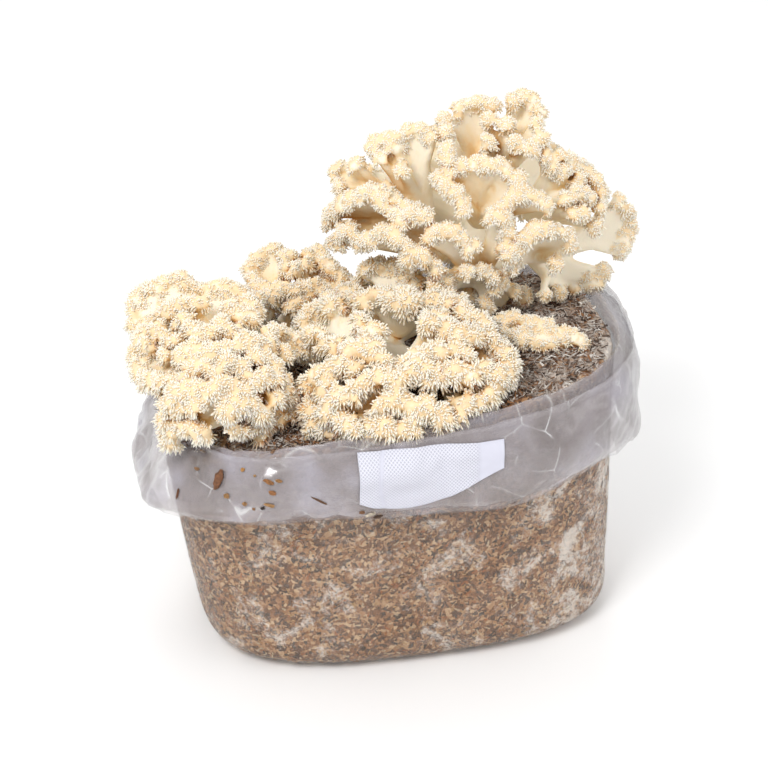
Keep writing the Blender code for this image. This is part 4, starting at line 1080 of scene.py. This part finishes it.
def toothed(name, centres, normals, areas, share, outward, sky, cluster, dice):
    """Fine blunt teeth in spreading clumps over the buds, as one mesh of arrays."""
    length, girth, droop, density, _ = TEETH[cluster]
    wanted = areas / MM ** 2 * density / CLUMP * np.clip(share * 1.25, 0.0, 1.0)
    count = np.floor(wanted + dice.random(len(wanted))).astype(int)
    root = np.repeat(np.arange(len(centres)), count)
    side = np.cross(normals[root], dice.normal(size=(len(root), 3)))
    side /= np.linalg.norm(side, axis=1, keepdims=True) + 1e-12
    middle_of = centres[root] + side * dice.uniform(-0.6, 0.6, (len(root), 1)) * MM
    tint = np.repeat(dice.normal(0.0, 0.06, len(root)), CLUMP)
    side, middle_of = np.repeat(side, CLUMP, axis=0), np.repeat(middle_of, CLUMP, axis=0)
    pick = np.repeat(root, CLUMP)
    total = len(pick)
    n, way = normals[pick], outward[pick]
    turn = np.tile(np.arange(CLUMP) * 2.0 * math.pi / CLUMP, len(root))
    turn = turn + dice.normal(0.0, 0.35, total)
    spread = side * np.cos(turn)[:, None] + np.cross(n, side) * np.sin(turn)[:, None]
    start = middle_of + spread * CLUMP_REACH * dice.uniform(0.4, 1.1, (total, 1)) - n * 0.4 * MM
    under = smooth_step(0.25, -0.6, n[:, 2])
    aim = 0.95 * n + 0.3 * way + 0.42 * spread + 0.16 * dice.normal(size=(total, 3))
    aim[:, 2] -= droop * (1.0 + 1.5 * under)
    aim /= np.linalg.norm(aim, axis=1, keepdims=True)
    tall = length * MM * dice.uniform(0.65, 1.3, total) * (0.6 + 0.4 * share[pick])
    tall *= 1.0 + 0.7 * under
    bend = 0.2 * dice.normal(size=(total, 3))
    bend[:, 2] -= droop
    middle = start + aim * (tall * 0.78)[:, None]
    tip = start + aim * tall[:, None] + bend * (tall * 0.3)[:, None]
    wide = girth * MM * dice.uniform(0.8, 1.2, total)
    across = np.cross(aim, side)
    across /= np.linalg.norm(across, axis=1, keepdims=True) + 1e-12
    through = np.cross(aim, across)
    rings = []
    for centre, share_of_girth in ((start, 1.0), (middle, 0.85)):
        for third in range(3):
            c, s = math.cos(third * 2.0944), math.sin(third * 2.0944)
            rings.append(centre + (across * c + through * s) * (wide * share_of_girth)[:, None])
    places = np.stack(rings + [tip], axis=1)
    first = np.arange(total)[:, None, None] * 7
    shape = []
    for k in range(3):
        m = (k + 1) % 3
        shape += [(k, m, 3 + m), (k, 3 + m, 3 + k), (3 + k, 3 + m, 6)]
    faces = (first + np.array(shape)[None]).reshape(-1, 3)
    piece = mesh_piece(name + "_teeth", places, faces)
    # Painted crevice shade: each tooth takes the openness of its root
    set_attribute(piece, "openness", np.repeat(sky[pick] + tint, 7))
    set_attribute(piece, "tip", np.tile([0.0] * 3 + [0.5] * 3 + [0.8], total))
    # Painted shade at each tooth's root, fading to none at its tip
    set_attribute(piece, "gap_shade", np.tile([1.0] * 3 + [0.2] * 3 + [0.0], total))
    return piece


def dress_growth(material, block):
    """Every branch of fungus as one piece: its skin and its teeth."""
    chance = random.Random(5)
    dice = np.random.default_rng(8)
    plans = []
    for name, (spots, cluster, middle_y) in CORES.items():
        balls = [(Vector(spot[:3]) * MM, spot[3] * MM) for spot in spots]
        limbs = [((a, ra * 0.8), (b, rb * 0.8)) for (a, ra), (b, rb) in zip(balls, balls[1:])]
        lobes = []
        if middle_y is not None:
            far = far_rims(cluster, middle_y)
            far_limbs, lobes = branch_parts(spots[-1][:3], FAR_LOBE, far, 1.0, CORE_RIBS, chance)
            limbs += far_limbs
        plans.append((name, limbs, balls, lobes))
    for cluster in (REAR, FRONT, LEFT, BACK_LEFT, SPROUT):
        for name, (fork, lobe_size, rims) in cluster.items():
            slim = TEETH[name.split("_")[0]][-1]
            limbs, lobes = branch_parts(fork, lobe_size, rims, slim, 1.0, chance)
            plans.append((name, limbs, [], lobes))
    skins = []
    for name, limbs, balls, lobes in plans:
        buds = buds_of(lobes, chance)
        balls = balls + [(spot, radius * 0.62) for spot, radius, _ in lobes]
        balls += [(spot, radius) for spot, radius, _ in buds]
        skins.append((name, grown_skin(name + "_flesh", limbs, balls), buds))
    tree = surface_tree(block, *(piece for _, piece, _ in skins))
    nodes = sorted(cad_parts)
    for name, piece, buds in skins:
        mesh = piece.data
        places = read_vectors(mesh.vertices, "co")
        normals = read_vectors(mesh.vertex_normals, "vector")
        # Openness from rays, read by the flesh colour as painted crevice shade
        sky = open_sky(places, normals, tree, dice)
        set_attribute(piece, "openness", sky)
        share = np.zeros(len(places))
        if buds:
            share, _ = crown_share(places, buds)
        set_attribute(piece, "tip", 0.1 * share)
        # Painted shade on the skin around the teeth
        set_attribute(piece, "gap_shade", share)
        if buds:
            centres = read_vectors(mesh.polygons, "center")
            faces_up = read_vectors(mesh.polygons, "normal")
            areas = np.empty(len(mesh.polygons), dtype=np.float32)
            mesh.polygons.foreach_get("area", areas)
            corner = np.array([p.vertices[0] for p in mesh.polygons])
            share, outward = crown_share(centres, buds)
            teeth = toothed(name, centres, faces_up, areas.astype(float), share, outward,
                            sky[corner], name.split("_")[0], dice)
            bpy.ops.object.select_all(action='DESELECT')
            teeth.select_set(True)
            piece.select_set(True)
            bpy.context.view_layer.objects.active = piece
            bpy.ops.object.join()
        piece.data.materials.clear()
        piece.data.materials.append(material)
        own = [node for node in nodes if node == name or node.startswith(name + "_side")
               or node.startswith(name + "_shoot")]
        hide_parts(*own)
        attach(piece, "root")


# Browns of split and sawn wood, wet behind the film and dry with mould on the bare top
WET_BROWNS = ("#24130A", "#4B2C17", "#6E4323", "#8B5C33", "#A87444", "#BE8F60", "#CDA066",
              "#B4682A", "#7F4F2A", "#DCC3A0")
DRY_BROWNS = ("#4A372C", "#6B5546", "#8A7466", "#A39082", "#BBAA9E", "#D3C8BE", "#9C6C45",
              "#F0EAE2")
TOP_CHIP_COUNT = 7000
WALL_CHIP_COUNT = 11000
THREAD_COUNT = 3600


def on_top(dice, count):
    """Random places over the block's top, with their heights."""
    places = []
    while len(places) < count:
        x = dice.uniform(-118.0, 97.0) * MM
        y = dice.uniform(-68.0, 74.0) * MM
        reach = abs((x - TOP_SHIFT[0]) / (TOP_HALF[0] - 3.0 * MM)) ** CORNER_POWER
        reach += abs((y - TOP_SHIFT[1]) / (TOP_HALF[1] - 3.0 * MM)) ** CORNER_POWER
        if reach < 1.0:
            places.append((x, y))
    flat = np.array(places)
    return np.column_stack((flat, top_relief(flat[:, 0], flat[:, 1])))


def turned_frames(dice, count, tilt):
    """Three directions at right angles for each of many small things lying about."""
    yaw = dice.uniform(0.0, 2.0 * math.pi, count)
    pitch = dice.normal(0.0, tilt, count)
    roll = dice.normal(0.0, tilt, count)
    long = np.stack((np.cos(yaw) * np.cos(pitch), np.sin(yaw) * np.cos(pitch), np.sin(pitch)), -1)
    flat = np.stack((-np.sin(yaw), np.cos(yaw), 0.0 * yaw), -1)
    up = np.cross(long, flat)
    wide = flat * np.cos(roll)[:, None] + up * np.sin(roll)[:, None]
    return long, wide, np.cross(long, wide)


def chips_piece(name, centres, long, wide, high, size, browns, dice, material):
    """Many tapered slivers of wood, each in its own brown, as one mesh of arrays."""
    corners = []
    for k in range(8):
        a, b, c = (1 if k & bit else -1 for bit in (1, 2, 4))
        taper = 0.5 if a > 0 else 1.0
        corner = centres + long * (a * size[:, :1]) + wide * (b * taper * size[:, 1:2])
        corners.append(corner + high * (c * size[:, 2:]))
    places = np.stack(corners, axis=1)
    sides = np.array(((0, 2, 3, 1), (4, 5, 7, 6), (0, 1, 5, 4), (2, 6, 7, 3), (0, 4, 6, 2),
                      (1, 3, 7, 5)))
    faces = (np.arange(len(centres))[:, None, None] * 8 + sides[None]).reshape(-1, 4)
    piece = mesh_piece(name, places, faces, smooth=False)
    palette = np.array([linear(colour)[:3] for colour in browns])
    own = palette[dice.integers(0, len(palette), len(centres))]
    set_colours(piece, "own_colour", np.repeat(own, 8, axis=0))
    piece.data.materials.append(material)
    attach(piece, "root")
    return piece


def top_chips(material):
    """Loose slivers all over the bare top."""
    dice = np.random.default_rng(21)
    centres = on_top(dice, TOP_CHIP_COUNT)
    centres[:, 2] += dice.uniform(-0.2, 1.2, TOP_CHIP_COUNT) * MM
    long, wide, high = turned_frames(dice, TOP_CHIP_COUNT, 0.4)
    size = dice.uniform((0.7, 0.2, 0.1), (2.4, 0.6, 0.28), (TOP_CHIP_COUNT, 3)) * MM
    return chips_piece("top_chips", centres, long, wide, high, size, DRY_BROWNS, dice, material)


def skin_place(angle, height, inset):
    """A place on the block's side at a height, the rounded bottom edge included."""
    turn = np.arccos(np.clip(1.0 - height / BASE_ROUNDING, 0.0, 1.0))
    back = BASE_ROUNDING * (1.0 - np.sin(turn))
    level = level_at(angle, height)
    return wall_place(angle, level, -back - inset - 1.1 * sunk_in(angle, level), height)


def wall_chips(material):
    """Flakes pressed flat against the film all round the block."""
    dice = np.random.default_rng(55)
    angle = dice.uniform(0.0, 2.0 * math.pi, WALL_CHIP_COUNT)
    height = dice.uniform(2.5, 108.0, WALL_CHIP_COUNT) * MM
    inset = BLOCK_INSET + dice.uniform(0.05, 0.3, WALL_CHIP_COUNT) * MM
    spots = skin_place(angle, height, inset)
    around = skin_place(angle + 0.004, height, inset) - spots
    upward = skin_place(angle, height + 0.4 * MM, inset) - spots
    around /= np.linalg.norm(around, axis=1, keepdims=True)
    high = np.cross(around, upward)
    high /= np.linalg.norm(high, axis=1, keepdims=True)
    upward = np.cross(high, around)
    turn = dice.uniform(0.0, math.pi, (WALL_CHIP_COUNT, 1))
    long = around * np.cos(turn) + upward * np.sin(turn)
    wide = np.cross(high, long)
    size = dice.uniform((0.45, 0.2, 0.06), (1.7, 0.6, 0.14), (WALL_CHIP_COUNT, 3)) * MM
    return chips_piece("wall_chips", spots, long, wide, high, size, WET_BROWNS, dice, material)


def top_threads(material):
    """Curved threads of mycelium over the slivers."""
    dice = np.random.default_rng(34)
    centres = on_top(dice, THREAD_COUNT)
    centres[:, 2] += dice.uniform(0.2, 1.6, THREAD_COUNT) * MM
    long, wide, high = turned_frames(dice, THREAD_COUNT, 0.3)
    half = dice.uniform(0.8, 2.8, THREAD_COUNT)[:, None] * MM
    bow = dice.normal(0.0, 0.45, THREAD_COUNT)[:, None]
    girth = dice.uniform(0.08, 0.2, THREAD_COUNT)[:, None] * MM
    rings = []
    for t in (-1.0, -0.35, 0.35, 1.0):
        spine = centres + long * half * t + wide * half * bow * (1.0 - t * t)
        thin = girth * (1.0 - 0.6 * t * t)
        for turn in range(3):
            c, s = math.cos(turn * 2.0944), math.sin(turn * 2.0944)
            rings.append(spine + (wide * c + high * s) * thin)
    places = np.stack(rings, axis=1)
    sides = []
    for ring in range(3):
        for k in range(3):
            m = (k + 1) % 3
            low, up = ring * 3, ring * 3 + 3
            sides.append((low + k, low + m, up + m, up + k))
    faces = (np.arange(THREAD_COUNT)[:, None, None] * 12 + np.array(sides)[None]).reshape(-1, 4)
    piece = mesh_piece("top_threads", places, faces)
    piece.data.materials.append(material)
    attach(piece, "root")
    return piece


# Crumbs lying on the collar: place in the photograph in pixels, length and width in mm,
# turn in degrees and colour
CRUMBS = (
    ("large bark flake", (220, 479), 10.0, 4.6, 80, "#8A5A3A"),
    ("thin flake", (197, 469), 3.4, 1.4, 10, "#9C7450"),
    ("dark sliver", (178, 494), 5.2, 1.6, -50, "#7A4A2C"),
    ("round tan crumb", (227, 496), 2.8, 2.4, 0, "#B08350"),
    ("small tan crumb", (243, 470), 2.2, 1.8, 20, "#C08A48"),
    ("long orange crumb", (269, 482), 5.0, 2.0, -15, "#A8713F"),
    ("second orange crumb", (279, 481), 3.0, 1.5, -10, "#B27F48"),
    ("low orange crumb", (273, 493), 3.6, 2.0, -10, "#A87040"),
    ("pale crumb row", (270, 505), 5.4, 1.9, 0, "#B88A55"),
    ("black crumb", (263, 508), 2.2, 1.5, 30, "#2A1C14"),
    ("low tan crumb", (245, 504), 2.2, 1.8, 0, "#A97C4C"),
    ("lowest crumb", (254, 509), 1.6, 1.3, 0, "#8E6440"),
    ("top flake", (273, 452), 2.4, 1.6, 60, "#8F6B4C"),
    ("fold crumb", (255, 476), 1.4, 1.2, 0, "#B58B5A"),
    ("long splinter", (320, 501), 7.5, 1.0, -28, "#6E4A30"),
    ("hem crumb pale", (370, 514), 5.0, 2.4, 0, "#D8C9B4"),
    ("hem crumb dark", (378, 516), 4.4, 2.0, 10, "#5A3C28"),
    ("hem crumb brown", (362, 512), 2.6, 1.8, 0, "#8A6040"),
)


def photo_ray(spot):
    """The camera's place and the direction through a pixel of the photograph."""
    back = Vector((math.sin(CAMERA_AZIMUTH) * math.cos(CAMERA_ELEVATION),
                   -math.cos(CAMERA_AZIMUTH) * math.cos(CAMERA_ELEVATION),
                   math.sin(CAMERA_ELEVATION)))
    right = Vector((math.cos(CAMERA_AZIMUTH), math.sin(CAMERA_AZIMUTH), 0.0))
    up = back.cross(right)
    step = SENSOR / CAMERA_LENS / PHOTO_SIDE
    middle = PHOTO_SIDE / 2.0
    way = right * (spot[0] - middle) * step - up * (spot[1] - middle) * step - back
    return CAMERA_AIM + back * CAMERA_DISTANCE, way.normalized()


def film_crumbs(collar, material):
    """Crumbs of sawdust and bark that fell on the rolled film."""
    chance = random.Random(3)
    everything = bmesh.new()
    shades = []
    for _, spot, length, width, turn, colour in CRUMBS:
        eye, way = photo_ray(spot)
        place, normal, _, _ = collar.ray_cast(eye, way)
        if place is None:
            continue
        if normal.dot(way) > 0.0:
            normal = -normal
        level = Vector((0.0, 0.0, 1.0)).cross(normal).normalized()
        along = Matrix.Rotation(math.radians(turn), 3, normal) @ level
        across = normal.cross(along)
        crumb = bmesh.ops.create_icosphere(everything, subdivisions=2, radius=1.0)["verts"]
        seed = Vector((chance.uniform(0, 9), chance.uniform(0, 9), 0.0))
        for vert in crumb:
            ball = vert.co.copy()
            rough = 1.0 + 0.45 * noise.noise(ball * 1.6 + seed) + 0.2 * noise.noise(ball * 5.0)
            ball *= rough
            vert.co = (place + along * ball.x * length * 0.5 * MM
                       + across * ball.y * width * 0.5 * MM
                       + normal * (ball.z * 0.28 * width + 0.2 * width) * MM)
            dim = chance.uniform(0.6, 1.15)
            shades.append([c * dim for c in linear(colour)[:3]])
    mesh = bpy.data.meshes.new("film_crumbs")
    everything.to_mesh(mesh)
    everything.free()
    piece = bpy.data.objects.new("film_crumbs", mesh)
    bpy.context.scene.collection.objects.link(piece)
    set_colours(piece, "own_colour", np.array(shades))
    piece.data.materials.append(material)
    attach(piece, "root")
    return piece


def studio():
    """White paper sweep, a large soft key from the upper left, a fill, and the camera."""
    world = bpy.data.worlds.new("studio air")
    world.use_nodes = True
    world.node_tree.nodes["Background"].inputs["Color"].default_value = linear("#FFFFFF")
    world.node_tree.nodes["Background"].inputs["Strength"].default_value = 0.72
    bpy.context.scene.world = world
    bpy.context.scene.view_settings.view_transform = 'Standard'
    floor = mesh_piece("studio_floor", [(-4, -4, 0), (4, -4, 0), (4, 4, 0), (-4, 4, 0)],
                       [(0, 1, 2, 3)])
    floor.data.materials.append(floor_material())
    lamps = (
        ("key", (-0.6, -0.7, 1.1), 0.45, 10.0),
        ("fill", (0.9, -0.6, 0.7), 0.8, 2.5),
        ("back", (0.1, 0.9, 1.0), 0.7, 4.0),
    )
    for name, place, size, power in lamps:
        light = bpy.data.lights.new(name, 'AREA')
        light.size = size
        light.energy = power
        lamp = bpy.data.objects.new(name, light)
        bpy.context.scene.collection.objects.link(lamp)
        lamp.location = place
        aim = CAMERA_AIM - Vector(place)
        lamp.rotation_euler = aim.to_track_quat('-Z', 'Y').to_euler()
    lens = bpy.data.cameras.new("camera")
    lens.lens = CAMERA_LENS
    lens.sensor_width = SENSOR
    lens.clip_start = 0.01
    camera = bpy.data.objects.new("camera", lens)
    bpy.context.scene.collection.objects.link(camera)
    eye, way = photo_ray((PHOTO_SIDE / 2.0, PHOTO_SIDE / 2.0))
    camera.location = eye
    camera.rotation_euler = way.to_track_quat('-Z', 'Y').to_euler()
    bpy.context.scene.camera = camera


def main():
    block = sawdust_block(sawdust_material())
    loose = loose_film_material("clear bag film hanging loose", 0.27)
    doubled = loose_film_material("clear bag film doubled over", 0.36)
    bag, ply = clear_bag(tight_film_material(), loose, doubled)
    collar = surface_tree(bag, ply)
    filter_patch(collar, patch_material())
    wall_chips(chip_material("wet wood flakes behind film", 0.6, True))
    dry = chip_material("dry wood slivers", 0.0, False)
    top_chips(dry)
    top_threads(thread_material())
    film_crumbs(collar, dry)
    dress_growth(flesh_material(), block)
    studio()


main()
